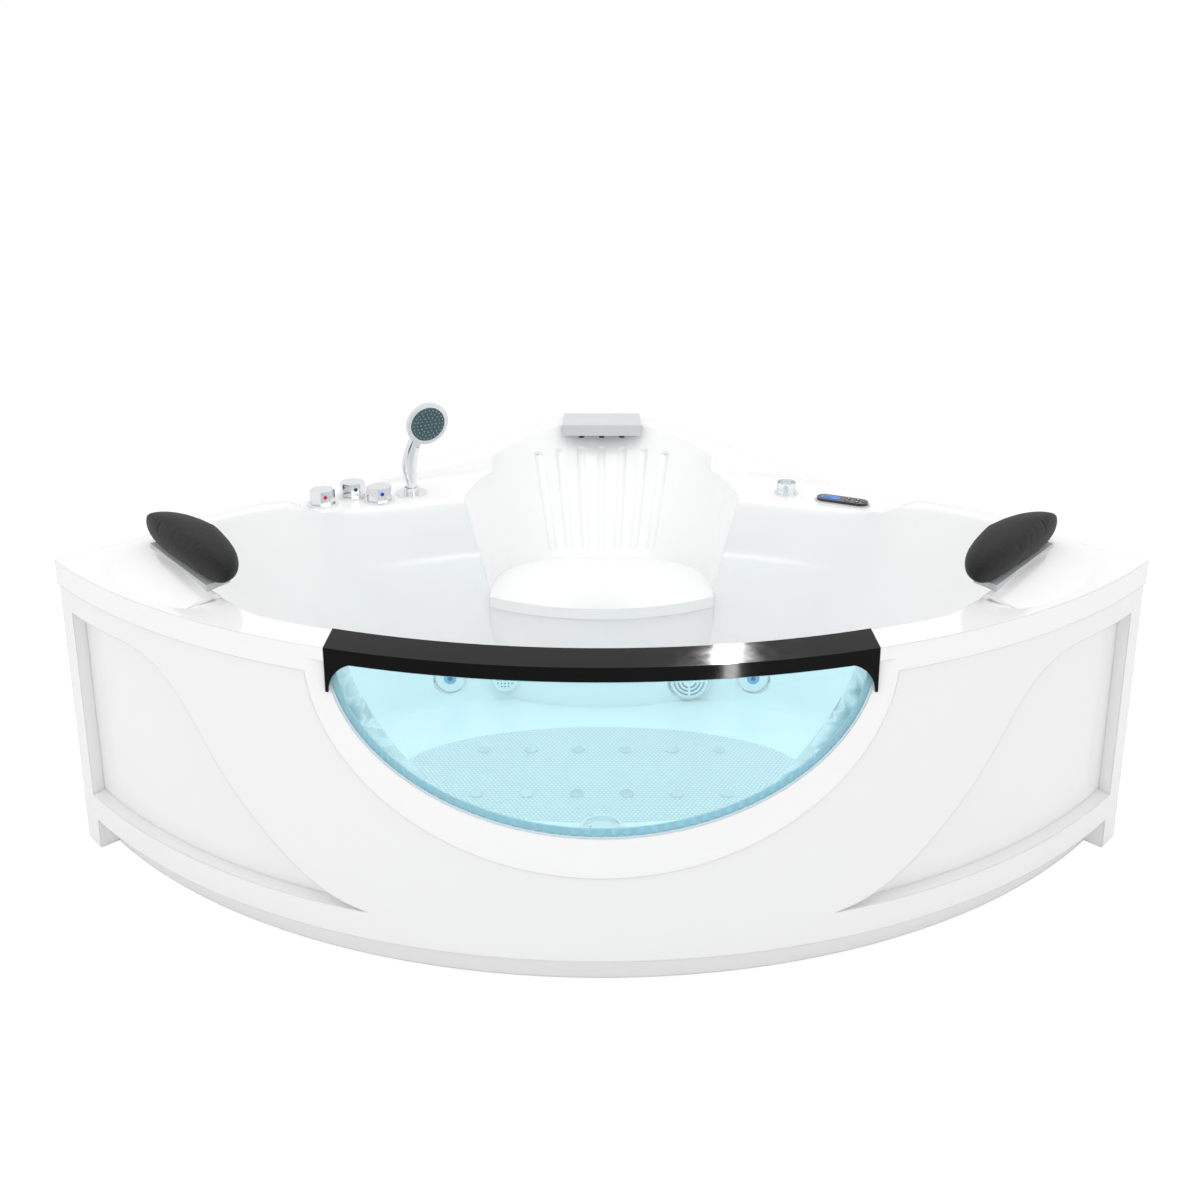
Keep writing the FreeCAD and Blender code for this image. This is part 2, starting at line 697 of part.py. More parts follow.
def beam(start, end, width, bottom, top):
    """Straight rectangular bar between two points of the plan."""
    along = Vector(end.x - start.x, end.y - start.y, 0)
    side = Vector(-along.y, along.x, 0)
    side.normalize()
    side *= width / 2
    base = Vector(0, 0, bottom)
    corners = [start + side, end + side, end - side, start - side]
    corners = [Vector(point.x, point.y, 0) + base for point in corners]
    return Part.Face(Part.makePolygon(corners + corners[:1])).extrude(Vector(0, 0, top - bottom))


def tube_route(points, outer, inner, bend):
    """Round pipe through the points with bends of one radius; inner 0 makes it solid."""
    spine = []
    last = points[0]
    for before, corner, after in zip(points, points[1:], points[2:]):
        incoming = (corner - before).normalize()
        outgoing = (after - corner).normalize()
        half = incoming.getAngle(outgoing) / 2
        trim = bend * math.tan(half)
        start = corner - incoming * trim
        end = corner + outgoing * trim
        inward = (outgoing - incoming).normalize()
        middle = corner + inward * (bend / math.cos(half) - bend)
        spine.append(Part.makeLine(last, start))
        spine.append(Part.Arc(start, middle, end).toShape())
        last = end
    spine.append(Part.makeLine(last, points[-1]))
    path = Part.Wire(spine)
    direction = points[1] - points[0]

    def swept(radius):
        profile = Part.Wire(Part.makeCircle(radius, points[0], direction))
        return path.makePipeShell([profile], True, False)

    return swept(outer).cut(swept(inner)) if inner else swept(outer)


# ---------------------------------------------------------------- apron
face_r = front_r - size("apron_inset")
apron_in = face_r - size("apron_wall")
band_z = size("band_height")
panel_z = size("panel_top")
kick_z = size("kick_height")
kick_r = face_r - size("kick_inset")
tip_angle = math.degrees(math.asin(tip_x / front_r))
post_angle = tip_angle - math.degrees(size("post_width") / face_r)
PANEL_ANGLE = -31.0
# sweeping edge of the raised middle panel: distance along the tangent, share of the panel height
SWEEP = ((-200, 1.0), (-125, 0.99), (-55, 0.925), (-5, 0.812), (40, 0.66), (88, 0.498), (150, 0.33),
         (215, 0.183), (285, 0.066), (368, 0.0))


def panel_face(radius, grow=0.0):
    """Outline of the sunk left panel, drawn on a plane square to its middle; grow moves it outward."""
    turn = math.radians(PANEL_ANGLE)
    outward = Vector(math.sin(turn), -math.cos(turn), 0)
    along = Vector(math.cos(turn), math.sin(turn), 0)
    centre = Vector(0, arc_y, 0) + outward * radius
    side = face_r * math.sin(math.radians(post_angle + PANEL_ANGLE + 0.35)) + grow

    def place(across, height):
        return centre + along * across + Vector(0, 0, height)

    plan = [(across * scale, band_z + (panel_z - band_z) * share) for across, share in SWEEP]
    sweep = []
    for index, (across, height) in enumerate(plan):
        before = plan[max(index - 1, 0)]
        after = plan[min(index + 1, len(plan) - 1)]
        run = after[0] - before[0]
        fall = before[1] - after[1]
        length = math.hypot(run, fall)
        sweep.append(place(across + grow * fall / length, height + grow * run / length))
    sweep[0] = place(plan[0][0], panel_z + grow)
    sweep[-1] = place(plan[-1][0] + grow * 4, band_z - grow)
    curve = Part.BSplineCurve()
    curve.interpolate(sweep)
    edges = [
        Part.makeLine(place(-side, panel_z + grow), sweep[0]),
        curve.toShape(),
        Part.makeLine(sweep[-1], place(-side, band_z - grow)),
        Part.makeLine(place(-side, band_z - grow), place(-side, panel_z + grow)),
    ]
    return Part.Face(Part.Wire(edges)), outward


def apron_shape():
    """Curved front panel with end posts, sunk side panels, toe space and the window cut-out."""
    wall = size("apron_wall")
    sheet_r = face_r - size("panel_depth")
    face, outward = panel_face(sheet_r - 60)
    recess = face.extrude(outward * 130)
    backing = panel_face(sheet_r - 60, wall)[0].extrude(outward * 130)
    edge = outline(0.5, 0, lip_z)
    shell = ring(apron_in, face_r, kick_z, lip_z).fuse(
        both(backing).common(ring(sheet_r - wall, face_r, kick_z, lip_z)))
    shell = shell.cut(both(recess).common(ring(sheet_r, front_r + 200, kick_z, lip_z)))
    post_x = face_r * math.sin(math.radians(post_angle))
    ends = both(Part.makeBox(400, 1500, kick_z + 1, Vector(-post_x - 400, arc_y - 1500, 0)))
    posts = ring(apron_in, face_r, 0, kick_z + 1).common(ends)
    kick = ring(kick_r - wall, kick_r, 2, kick_z + wall).cut(ends)
    ledge = ring(kick_r - wall, face_r, kick_z, kick_z + wall)
    cheek_back = arc_point(kick_r - wall, -post_angle)
    cheek_front = arc_point(face_r - 0.5, -post_angle)
    cheek = beam(cheek_back, cheek_front, wall, 0, kick_z + 1)
    flange = wall_box((size("side_length") - 48, size("side_length")), (0.5, 0.5 + wall), 0, lip_z)
    inside = Part.makeCylinder(face_r, lip_z, Vector(0, arc_y, 0))
    shell = shell.fuse([posts, kick, ledge, both(cheek), both(flange.common(inside))]).common(edge)
    lower = Part.makeBox(4000, 1400, TALL, Vector(-2000, -1400 + back_y - 600, 0))
    return shell.common(lower).cut(ellipse_prism(border_w + 1, border_d + 1))


def glass_shape():
    """Curved pane."""
    return front_ring(glass_in, glass_out, 60, window_top).common(
        ellipse_prism(size("window_half"), size("window_drop")))


def seal_shape():
    """Gasket behind and around the pane."""
    around = ellipse_prism(size("window_half") + seal_w - gap, size("window_drop") + seal_w - gap)
    back = ring(glass_in - 3, glass_in, 60, window_top).common(around)
    hole = ellipse_prism(tunnel_w, tunnel_d).common(
        Part.makeBox(4000, 3000, window_top - skin, Vector(-2000, -2500, 0)))
    rim = ring(glass_in, glass_out, 60, window_top).common(around).cut(
        ellipse_prism(size("window_half"), size("window_drop")))
    front = outline(0, 60, window_top)
    return back.cut(hole).fuse(rim).common(front)


tub = freeform("tub_shell", tub_shape())
node("tub_shell", tub)
node("handrail", freeform("handrail", rail_shape()))
node("front_apron", freeform("front_apron", apron_shape()))
node("window_glass", freeform("window_glass", glass_shape()))
node("window_seal", freeform("window_seal", seal_shape().cut(rail_shape())))

# ---------------------------------------------------------------- headrests
PILLOW_TILT = -3.0
PILLOW_YAW = 50.5
pillow_mid = from_corner(-801, 1146, rim_z + 17)
pillow_turn = math.radians(PILLOW_YAW)
pillow_along = Vector(math.cos(pillow_turn), -math.sin(pillow_turn), 0)
pillow_level = Vector(math.sin(pillow_turn), math.cos(pillow_turn), 0)
tilt = math.radians(PILLOW_TILT)
pillow_down = pillow_level * math.cos(tilt) - Vector(0, 0, math.sin(tilt))
pillow_up = pillow_along.cross(pillow_down)
# crowned section of the cushion: height share against share of the outline
CROWN = ((0.0, 0.55), (0.0, 0.82), (0.10, 0.97), (0.38, 1.04),
         (0.70, 1.0), (0.90, 0.85), (1.0, 0.6), (1.02, 0.25))


def pillow_loop(share, height, lift):
    """Half-moon outline of the cushion: nearly straight towards the wall, round to the basin."""
    half = size("pillow_length") / 2
    width = size("pillow_width")
    points = []
    for step in range(28):
        turn = 2 * math.pi * step / 28
        across = math.cos(turn)
        deep = math.sin(turn)
        reach = width * 0.74 * deep if deep > 0 else width * 0.26 * deep
        place = pillow_along * (half * across * share) + pillow_down * (width * 0.26 + reach * share)
        points.append(pillow_mid + place + pillow_up * (height * size("pillow_thick") + lift))
    return points


def pillow_shape():
    """Left cushion with its crowned form."""
    return moulded([pillow_loop(share, height, 8) for height, share in CROWN])


def mount_shape():
    """Plastic carrier between the rim pad and the cushion."""
    half = size("pillow_length") * 0.36
    corners = []
    for across, down in ((-half, 8), (half, 8), (half, 52), (-half, 52)):
        corners.append(pillow_mid + pillow_along * across + pillow_down * down + pillow_up * 8)
    block = Part.Face(Part.makePolygon(corners + corners[:1])).extrude(pillow_up * -60)
    pieces = block.cut(rim_body(-gap, 0, lip_z)).Solids
    return max(pieces, key=lambda piece: piece.BoundBox.ZMax)


left_pillow = pillow_shape().cut(rim_body(-gap, 0, lip_z))
left_mount = mount_shape().cut(left_pillow)
node("pillow_left", freeform("pillow_left", left_pillow))
node("pillow_right", freeform("pillow_right", mirrored(left_pillow)))
mounts = Part.makeCompound([left_mount, mirrored(left_mount)])
node("pillow_mounts", freeform("pillow_mounts", mounts))

# ---------------------------------------------------------------- waterfall spout
spout_y = from_corner(0, 243).y
spout_rear = from_corner(0, 118).y
spout_split = from_corner(0, 210).y
half_spout = size("spout_half")
spout_top = corner_z + 13
spout_low = spout_top - size("spout_height")
hood = box("spout_hood", Vector(-half_spout, spout_y, corner_z), "Sizes.spout_half * 2",
           "%f" % (spout_rear - spout_y), "13")
chute = box("spout_chute", Vector(-half_spout, spout_y, spout_low), "Sizes.spout_half * 2",
            "%f" % (spout_split - spout_y), "Sizes.spout_height - 13")
node("waterfall_spout", union("spout_union", [hood, chute]))
nozzles = [cylinder("spout_nozzle", Vector(x, spout_y + 18, spout_low - 9), "7", "9") for x in (-52, 0, 52)]
node("spout_nozzles", group("spout_nozzle_group", nozzles))

# ---------------------------------------------------------------- taps
VALVE_DROP = 88
escutcheons = []
valves = []
for name, place in taps:
    plate = cylinder("%s_plate" % name, place, "Sizes.tap_radius", "5")
    hole = cylinder("%s_hole" % name, place, "Sizes.valve_radius - 3 + Sizes.air_gap", "5")
    escutcheons.append(cut("%s_ring" % name, plate, hole))
    body = cylinder("%s_body" % name, place - Vector(0, 0, skin + VALVE_DROP), "Sizes.valve_radius",
                    "%d" % VALVE_DROP)
    neck = cylinder("%s_neck" % name, place - Vector(0, 0, skin + 1), "Sizes.valve_radius - 3",
                    "%f" % (skin + 6))
    spindle = cylinder("%s_spindle" % name, place, "Sizes.spindle_radius", "22")
    valves.append(union("%s_valve" % name, [body, neck, spindle]))
    grip = bind(doc.addObject("Part::Prism", "%s_grip" % name),
                {"Circumradius": "Sizes.handle_radius", "Height": "Sizes.handle_height"})
    grip.Polygon = 8
    grip.Placement = Placement(place + Vector(0, 0, 5 + gap), Rotation(Vector(0, 0, 1), 22.5 - 63))
    bore = cylinder("%s_bore" % name, place, "Sizes.spindle_radius + 0.05", "23")
    node("%s_handle" % name, cut("%s_handle_cut" % name, grip, bore))
node("tap_escutcheons", group("escutcheon_group", escutcheons))
node("tap_valves", group("valve_group", valves))

# ---------------------------------------------------------------- hand shower
HEAD_FACING = Vector(0.52, -0.82, -0.21)
HANDLE = ((0, 0, 0, 13.0), (0, 0, 22, 13.0), (-2, 0, 45, 16.0), (2, -1, 85, 17.0), (14, -2, 122, 16.0),
          (26, -2, 146, 14.0))
shower_foot = shower_base + Vector(0, 0, 6)


def shower_shape():
    """Hand shower: curved grip and round tilted head."""
    rings = []
    for x, y, z, radius in HANDLE:
        rings.append(Part.Wire(Part.makeCircle(radius, shower_foot + Vector(x, y, z), Vector(0, 0, 1))))
    facing = Vector(HEAD_FACING).normalize()
    middle = shower_foot + Vector(40, 0, 163)
    grip = Part.makeLoft(rings, True, False).cut(Part.makeCylinder(60, 60, middle + facing * 8, facing))
    back = Part.makeCone(size("head_radius") * 0.62, size("head_radius"), 14, middle - facing * 14, facing)
    rim = Part.makeCylinder(size("head_radius"), 10, middle, facing)
    return grip.fuse([back, rim]), middle + facing * 10, facing


shower, spray_at, spray_facing = shower_shape()
node("hand_shower", freeform("hand_shower", shower))
node("spray_plate", cylinder("spray_plate_disc", spray_at, "Sizes.head_radius * 0.8", "2.5", spray_facing))
flange = cylinder("holder_flange", shower_base, "36", "4")
socket = cylinder("holder_socket", shower_base, "18", "16")
guide = cylinder("holder_guide", shower_base - Vector(0, 0, 60), "13", "62")
pocket = cylinder("holder_pocket", shower_base + Vector(0, 0, 6), "13.3", "20")
hose_bore = cylinder("hose_bore", shower_base - Vector(0, 0, 61), "8", "70")
holder = union("holder_union", [flange, socket, guide])
node("shower_holder", cut("holder_cut", holder, union("holder_voids", [pocket, hose_bore])))

# ---------------------------------------------------------------- air control
seat_ring = cylinder("knob_plate", air_knob, "27", "4")
air_body = cylinder("air_body", air_knob - Vector(0, 0, skin + 70), "14", "70")
air_neck = cylinder("air_neck", air_knob - Vector(0, 0, skin + 1), "11", "%f" % (skin + 2))
air_stem = cylinder("air_stem", air_knob, "5", "20")
node("air_valve", union("air_valve_union", [seat_ring, air_body, air_neck, air_stem]))
knob_grip = cylinder("knob_grip", air_knob + Vector(0, 0, 4 + gap), "Sizes.knob_radius", "24")
knob_bore = cylinder("knob_bore", air_knob, "5.05", "21")
node("air_knob", cut("air_knob_cut", knob_grip, knob_bore))

# ---------------------------------------------------------------- keypad
turn = math.radians(KEYPAD_TURN)
key_x = Vector(math.cos(turn), math.sin(turn), 0)
key_y = Vector(-math.sin(turn), math.cos(turn), 0)


def pill(along, across, length, width, bottom, height):
    """Flat bar with round ends in the frame of the keypad."""
    radius = width / 2
    middle = keypad_mid + key_x * along + key_y * across + Vector(0, 0, bottom)
    reach = key_x * (length / 2 - radius)
    side = key_y * radius
    edges = [
        Part.makeLine(middle - reach + side, middle + reach + side),
        Part.Arc(middle + reach + side, middle + reach + key_x * radius, middle + reach - side).toShape(),
        Part.makeLine(middle + reach - side, middle - reach - side),
        Part.Arc(middle - reach - side, middle - reach - key_x * radius, middle - reach + side).toShape(),
    ]
    return Part.Face(Part.Wire(edges)).extrude(Vector(0, 0, height))


key_l = size("keypad_length")
key_w = size("keypad_width")
BUTTONS = ((12, 7.5), (34, 7.5), (12, -7.5), (34, -7.5), (49, 0))
bezel = pill(0, 0, key_l + 8, key_w + 8, 0, 3).fuse(Part.makeCylinder(12, 40, keypad_mid - Vector(0, 0, 39)))
panel = pill(0, 0, key_l, key_w, 3, 6)
lens = pill(-27, 0, 42, 20, 8, 1.6)
wells = [pill(along, across, 10.6, 8.6, 6, 4) for along, across in BUTTONS]
node("keypad_bezel", freeform("keypad_bezel", bezel))
node("keypad_panel", freeform("keypad_panel", panel.cut([lens] + wells)))
node("keypad_display", freeform("keypad_display", lens))
for index, (along, across) in enumerate(BUTTONS, start=1):
    button = pill(along, across, 10, 8, 7.2, 2.6)
    node("keypad_button_%d" % index, freeform("keypad_button_%d" % index, button))

# ---------------------------------------------------------------- water jets, strainer, suction
FRONTWARD = Vector(0, -1, 0)
BALL = 15.0
header_y = from_corner(0, 643).y
jet_bodies = []
for name, place in (("left", jet_left), ("right", jet_right)):
    tail = cylinder("jet_tail_%s" % name, place, "24", "%f" % (header_y - place.y + 15), BACKWARD)
    inlet = cylinder("jet_inlet_%s" % name, Vector(place.x, header_y, place.z), "12", "48")
    well = cylinder("jet_well_%s" % name, place - BACKWARD, "18", "32", BACKWARD)
    body = union("jet_body_union_%s" % name, [tail, inlet])
    jet_bodies.append(cut("jet_body_%s" % name, body, well))
    seat = Part.makeSphere(BALL + gap, place + FRONTWARD * 2)
    opening = Part.makeCylinder(BALL - 3, 40, place + BACKWARD * 20, FRONTWARD)
    ring_shape = Part.makeCylinder(size("jet_radius"), 7, place, FRONTWARD).cut([seat, opening])
    node("jet_ring_%s" % name, freeform("jet_ring_%s" % name, ring_shape))
    ball = Part.makeSphere(BALL, place + FRONTWARD * 2)
    front = Part.makeBox(60, 60, 60, place + Vector(-30, -60 - 9, -30))
    rear = Part.makeBox(60, 60, 60, place + Vector(-30, 8, -30))
    throat = Part.makeCylinder(6, 60, place + BACKWARD * 30, FRONTWARD)
    node("jet_nozzle_%s" % name, freeform("jet_nozzle_%s" % name, ball.cut([front, rear, throat])))

node("jet_bodies", group("jet_body_group", jet_bodies))

cap = Part.makeCylinder(28, 5, strainer, FRONTWARD)
pores = [Part.makeCylinder(2.2, 12, strainer + Vector(x, 2, z), FRONTWARD)
         for x in (-16, -8, 0, 8, 16) for z in (-16, -8, 0, 8, 16) if math.hypot(x, z) < 20]
node("strainer_cap", freeform("strainer_cap", cap.cut(pores)))
strainer_tube = cylinder("strainer_tube", strainer, "20", "%f" % (header_y - strainer.y + 15), BACKWARD)
strainer_inlet = cylinder("strainer_inlet", Vector(strainer.x, header_y, strainer.z), "12", "48")
node("strainer_body", union("strainer_union", [strainer_tube, strainer_inlet]))

cover = Part.makeCone(size("suction_radius"), size("suction_radius") - 6, 9, suction, FRONTWARD)
slots = []
for radius in (16, 25, 34):
    groove = Part.makeCylinder(radius + 2, 14, suction + BACKWARD * 2, FRONTWARD).cut(
        Part.makeCylinder(radius - 2, 14, suction + BACKWARD * 2, FRONTWARD))
    spokes = [Part.makeBox(6, 30, 120, suction + Vector(-3, -15, -60)),
              Part.makeBox(120, 30, 6, suction + Vector(-60, -15, -3))]
    slots.append(groove.cut(spokes))
node("suction_cover", freeform("suction_cover", cover.cut(slots)))
node("suction_body", cylinder("suction_tube", suction, "30", "40", BACKWARD))

# ---------------------------------------------------------------- floor air jets and drain
rail_z = size("foot_height") + size("tube") + 12
caps = []
for index, place in enumerate(air_jets):
    head = cylinder("air_cap_%d" % index, place, "Sizes.air_jet_radius", "3")
    stem = cylinder("air_jet_stem_%d" % index, place - Vector(0, 0, floor_z - rail_z - 10 - gap), "7",
                    "%f" % (floor_z - rail_z - 9 - gap))
    caps.append(union("air_jet_%d" % index, [head, stem]))
node("floor_air_jets", group("floor_air_jet_group", caps))

drain_low = drain_mid - Vector(0, 0, 44)
strip = cylinder("drain_strip", drain_mid, "Sizes.drain_radius", "2.5")
tail = cylinder("drain_tail", drain_low, "Sizes.drain_bore + 6", "45")
drain_hole = cylinder("drain_hole", drain_low, "Sizes.drain_bore", "60")
node("drain_flange", cut("drain_flange_cut", union("drain_flange_union", [strip, tail]), drain_hole))


def plug_shape():
    """Domed pop-up plug with its guide stem."""
    dome_r = size("drain_radius") - 6
    rise = 10.0
    ball_r = (dome_r ** 2 + rise ** 2) / (2 * rise)
    base = drain_mid + Vector(0, 0, 2.5 + gap)
    dome = Part.makeSphere(ball_r, base + Vector(0, 0, rise - ball_r)).common(
        Part.makeCylinder(dome_r, 40, base))
    stem = Part.makeCylinder(5, 42, base - Vector(0, 0, 41))
    collar = Part.makeCylinder(size("drain_bore") - 0.6, 6, base - Vector(0, 0, 7))
    return dome.fuse([stem, collar, Part.makeCylinder(dome_r, 0.5, base)])


node("drain_plug", freeform("drain_plug", plug_shape()))

TRAP_LOW = 5.0
WASTE_AXIS = 27.0
WASTE_RUN = 369.0
SPIGOT = 60.0
waste_way = Vector(1, 1, 0).normalize()
trap_mid = Vector(drain_low.x, drain_low.y, TRAP_LOW)
trap_body = Part.makeCylinder(36, drain_low.z - TRAP_LOW, trap_mid)
trap_start = Vector(drain_low.x, drain_low.y, WASTE_AXIS)
trap_pipe = Part.makeCylinder(19, WASTE_RUN, trap_start, waste_way)
trap_nut = Part.makeCylinder(21.5, 26, trap_start + waste_way * 34, waste_way)
spigot = Part.makeCylinder(20, SPIGOT, trap_start + waste_way * (WASTE_RUN - SPIGOT), waste_way)
trap_bore = Part.makeCylinder(17, SPIGOT, trap_start + waste_way * (WASTE_RUN - SPIGOT), waste_way)
trap = trap_body.fuse([trap_pipe, trap_nut, spigot]).cut(trap_bore)
node("waste_trap", freeform("waste_trap", trap))

# ---------------------------------------------------------------- carrying frame
tube = size("tube")
frame_z = size("foot_height")
frame_top = frame_z + tube
board_low = floor_z - skin - 8
window_y = from_corner(0, 1352).y
beam_mid = 35.0


def mirror_point(point):
    """Point on the other side of the symmetry plane."""
    return Vector(-point.x, point.y, point.z)


def wall_post(along, top):
    """Upright of the frame beside the left wall."""
    return wall_box((along, along + tube), (beam_mid - tube / 2, beam_mid + tube / 2), frame_z, top)


END_POST = 1390 * scale
SIDE_POST = 785 * scale
wall_end = from_wall(END_POST + tube / 2, beam_mid)
nose = Vector(-520 * scale, window_y, 0)
rail_x = 300 * scale
rail_front = Vector(-rail_x, window_y, 0)


def frame_shape():
    """Welded square tubes under the basin with uprights to the rim."""
    corner_post = beam_mid - tube / 2
    pieces = [
        both(beam(from_wall(corner_post, beam_mid), wall_end, tube, frame_z, frame_top)),
        beam(wall_end, mirror_point(wall_end), tube, frame_z, frame_top),
        both(beam(wall_end, nose, tube, frame_z, frame_top)),
        beam(nose, mirror_point(nose), tube, frame_z, frame_top),
        both(beam(rail_front, Vector(-rail_x, back_y - rail_x - 60, 0), tube, frame_z, frame_top)),
        wall_post(corner_post, corner_z - skin),
        both(wall_post(SIDE_POST, deck_z - skin)),
        both(wall_post(END_POST, rim_z - skin)),
    ]
    return pieces[0].fuse(pieces[1:])


node("steel_frame", freeform("steel_frame", frame_shape()))

foot_places = [Vector(0, back_y - beam_mid * math.sqrt(2), 0)]
for place in (from_wall(760 * scale, beam_mid), wall_end, rail_front, Vector(-rail_x, wall_end.y, 0)):
    foot_places += [place, mirror_point(place)]
feet = []
nuts = []
for index, place in enumerate(foot_places):
    pad = cylinder("foot_pad_%d" % index, place, "Sizes.foot_radius", "8")
    stem = cylinder("foot_stem_%d" % index, place, "Sizes.stem_radius", "Sizes.foot_height")
    feet.append(union("foot_%d" % index, [pad, stem]))
    nut = bind(doc.addObject("Part::Prism", "nut_%d" % index), {"Circumradius": "Sizes.stem_radius * 2"})
    nut.Polygon = 6
    nut.Height = 8
    nut.Placement = Placement(place + Vector(0, 0, frame_z - 8), Rotation())
    bore = cylinder("nut_bore_%d" % index, place + Vector(0, 0, frame_z - 10),
                    "Sizes.stem_radius + Sizes.air_gap", "12")
    nuts.append(cut("nut_ring_%d" % index, nut, bore))
node("levelling_feet", group("foot_group", feet))
node("foot_lock_nuts", group("nut_group", nuts))

# ---------------------------------------------------------------- board under the floor
board_x = 380 * scale
board_front = from_corner(0, 1243).y
board_rear = from_corner(0, 753).y
board = Part.makeBox(2 * board_x, board_rear - board_front, 8, Vector(-board_x, board_front, board_low))
board_holes = [Part.makeCylinder(9, 20, Vector(place.x, place.y, board_low - 5)) for place in air_jets]
board_holes.append(Part.makeCylinder(size("drain_bore") + 10, 20, Vector(0, drain_mid.y, board_low - 5)))
node("base_board", freeform("base_board", board.cut(board_holes)))
pads = []
for index, distance in enumerate((1203, 1028, 823)):
    for side in (-1, 1):
        corner = from_corner(side * 300, distance, frame_top) - Vector(15, 20, 0)
        pads.append(box("pad_%d_%d" % (index, side), corner, "30", "40", "%f" % (board_low - frame_top)))
node("support_pads", group("pad_group", pads))

# ---------------------------------------------------------------- apron brackets
BRACKET_LEVELS = (300.0, 480.0)
BRACKET_HEIGHT = 40.0
brackets = []
screws = []
flange_in = 0.5 + size("apron_wall")
for level in BRACKET_LEVELS:
    top = level + BRACKET_HEIGHT
    post_side = beam_mid - tube / 2
    plate = wall_box((END_POST + tube - 4, size("side_length") - 18), (flange_in, flange_in + 3), level, top)
    web = wall_box((END_POST + tube - 4, END_POST + tube), (flange_in, post_side), level, top)
    foot = wall_box((END_POST, END_POST + tube), (post_side - 3, post_side), level, top)
    bracket = plate.fuse([web, foot])
    inward = from_wall(0, 1) - from_wall(0, 0)
    screw = Part.makeCylinder(5, 3, from_wall(size("side_length") - 30, flange_in + 3, level + 20), inward)
    brackets += [bracket, mirrored(bracket)]
    screws += [screw, mirrored(screw)]
node("apron_brackets", freeform("apron_brackets", Part.makeCompound(brackets)))
node("apron_screws", freeform("apron_screws", Part.makeCompound(screws)))

# ---------------------------------------------------------------- equipment tray, pump and blower
tray_z = frame_top
tray_corners = [Vector(-rail_x - 10, 120 * scale, tray_z), Vector(rail_x + 10, 120 * scale, tray_z),
                Vector(rail_x + 10, 400 * scale, tray_z), Vector(120 * scale, 600 * scale, tray_z),
                Vector(-120 * scale, 600 * scale, tray_z), Vector(-rail_x - 10, 400 * scale, tray_z)]
tray = Part.Face(Part.makePolygon(tray_corners + tray_corners[:1])).extrude(Vector(0, 0, 3))
node("equipment_tray", freeform("equipment_tray", tray))
tray_top = tray_z + 3

RIGHTWARD = Vector(1, 0, 0)
pump_mid = Vector(10, 230 * scale, suction.z)
motor = cylinder("pump_motor_case", pump_mid - RIGHTWARD * 210, "Sizes.motor_radius", "210", RIGHTWARD)
cowl = cylinder("pump_cowl", pump_mid - RIGHTWARD * 216, "Sizes.motor_radius - 8", "8", RIGHTWARD)
pedestal = box("pump_pedestal", Vector(-170, pump_mid.y - 50, tray_top), "150", "100",
               "%f - Sizes.motor_radius + 12" % (pump_mid.z - tray_top))
terminal = box("pump_terminal", pump_mid + Vector(-130, -30, 50), "70", "60", "38")
node("pump_motor", union("pump_motor_union", [motor, cowl, pedestal, terminal]))
volute = cylinder("pump_volute_case", pump_mid, "Sizes.volute_radius", "66", RIGHTWARD)
pump_inlet = cylinder("pump_inlet", pump_mid, "Sizes.pipe_radius + 6", "100", RIGHTWARD)
pump_outlet = cylinder("pump_outlet", pump_mid + RIGHTWARD * 35, "Sizes.pipe_radius + 6",
                       "Sizes.volute_radius + 18")
node("pump_housing", union("pump_housing_union", [volute, pump_inlet, pump_outlet]))

pipe_r = size("pipe_radius")
suction_route = [
    suction + BACKWARD * 40,
    Vector(suction.x, pump_mid.y, suction.z),
    pump_mid + RIGHTWARD * 100,
]
node("suction_pipe", freeform("suction_pipe", tube_route(suction_route, pipe_r, 0, 45)))

header_z = 320.0
jet_top = jet_left.z + 48
outlet = pump_mid + Vector(35, 0, size("volute_radius") + 18)
trunk = tube_route([outlet, Vector(outlet.x, outlet.y, header_z), Vector(outlet.x, header_y, header_z)],
                   pipe_r - 2, 0, 30)
header_route = [
    Vector(jet_left.x, header_y, jet_top),
    Vector(jet_left.x, header_y, header_z),
    Vector(jet_right.x, header_y, header_z),
    Vector(jet_right.x, header_y, jet_top),
]
header = tube_route(header_route, pipe_r, 0, 40)
branch_low = strainer.z + 48
branch = Part.makeCylinder(13, header_z - branch_low, Vector(strainer.x, header_y, branch_low))
venturi = Vector(air_knob.x - 124 * scale, header_y, header_z)
venturi_top = header_z + pipe_r + 15
stub = Part.makeCylinder(12, pipe_r + 15, venturi)
node("pressure_manifold", freeform("pressure_manifold", header.fuse([trunk, branch, stub])))
air_low = deck_z - skin - 70
air_route = [Vector(air_knob.x, air_knob.y, air_low), Vector(air_knob.x, air_knob.y, 440),
             Vector(venturi.x, venturi.y, 440), Vector(venturi.x, venturi.y, venturi_top)]
node("air_control_pipe", freeform("air_control_pipe", tube_route(air_route, 8, 0, 25)))

blower_mid = Vector(0, 520 * scale, tray_top)
blower_out = Vector(-1, -1, 0).normalize()
blower_case = cylinder("blower_case", blower_mid, "Sizes.blower_radius", "Sizes.blower_height - 30")
blower_cap = cylinder("blower_cap", blower_mid + Vector(0, 0, size("blower_height") - 30),
                      "Sizes.blower_radius - 14", "30")
blower_outlet_z = 105.0
blower_stub = cylinder("blower_outlet", blower_mid + Vector(0, 0, blower_outlet_z), "15",
                       "Sizes.blower_radius + 20", blower_out)
node("air_blower", union("air_blower_union", [blower_case, blower_cap, blower_stub]))

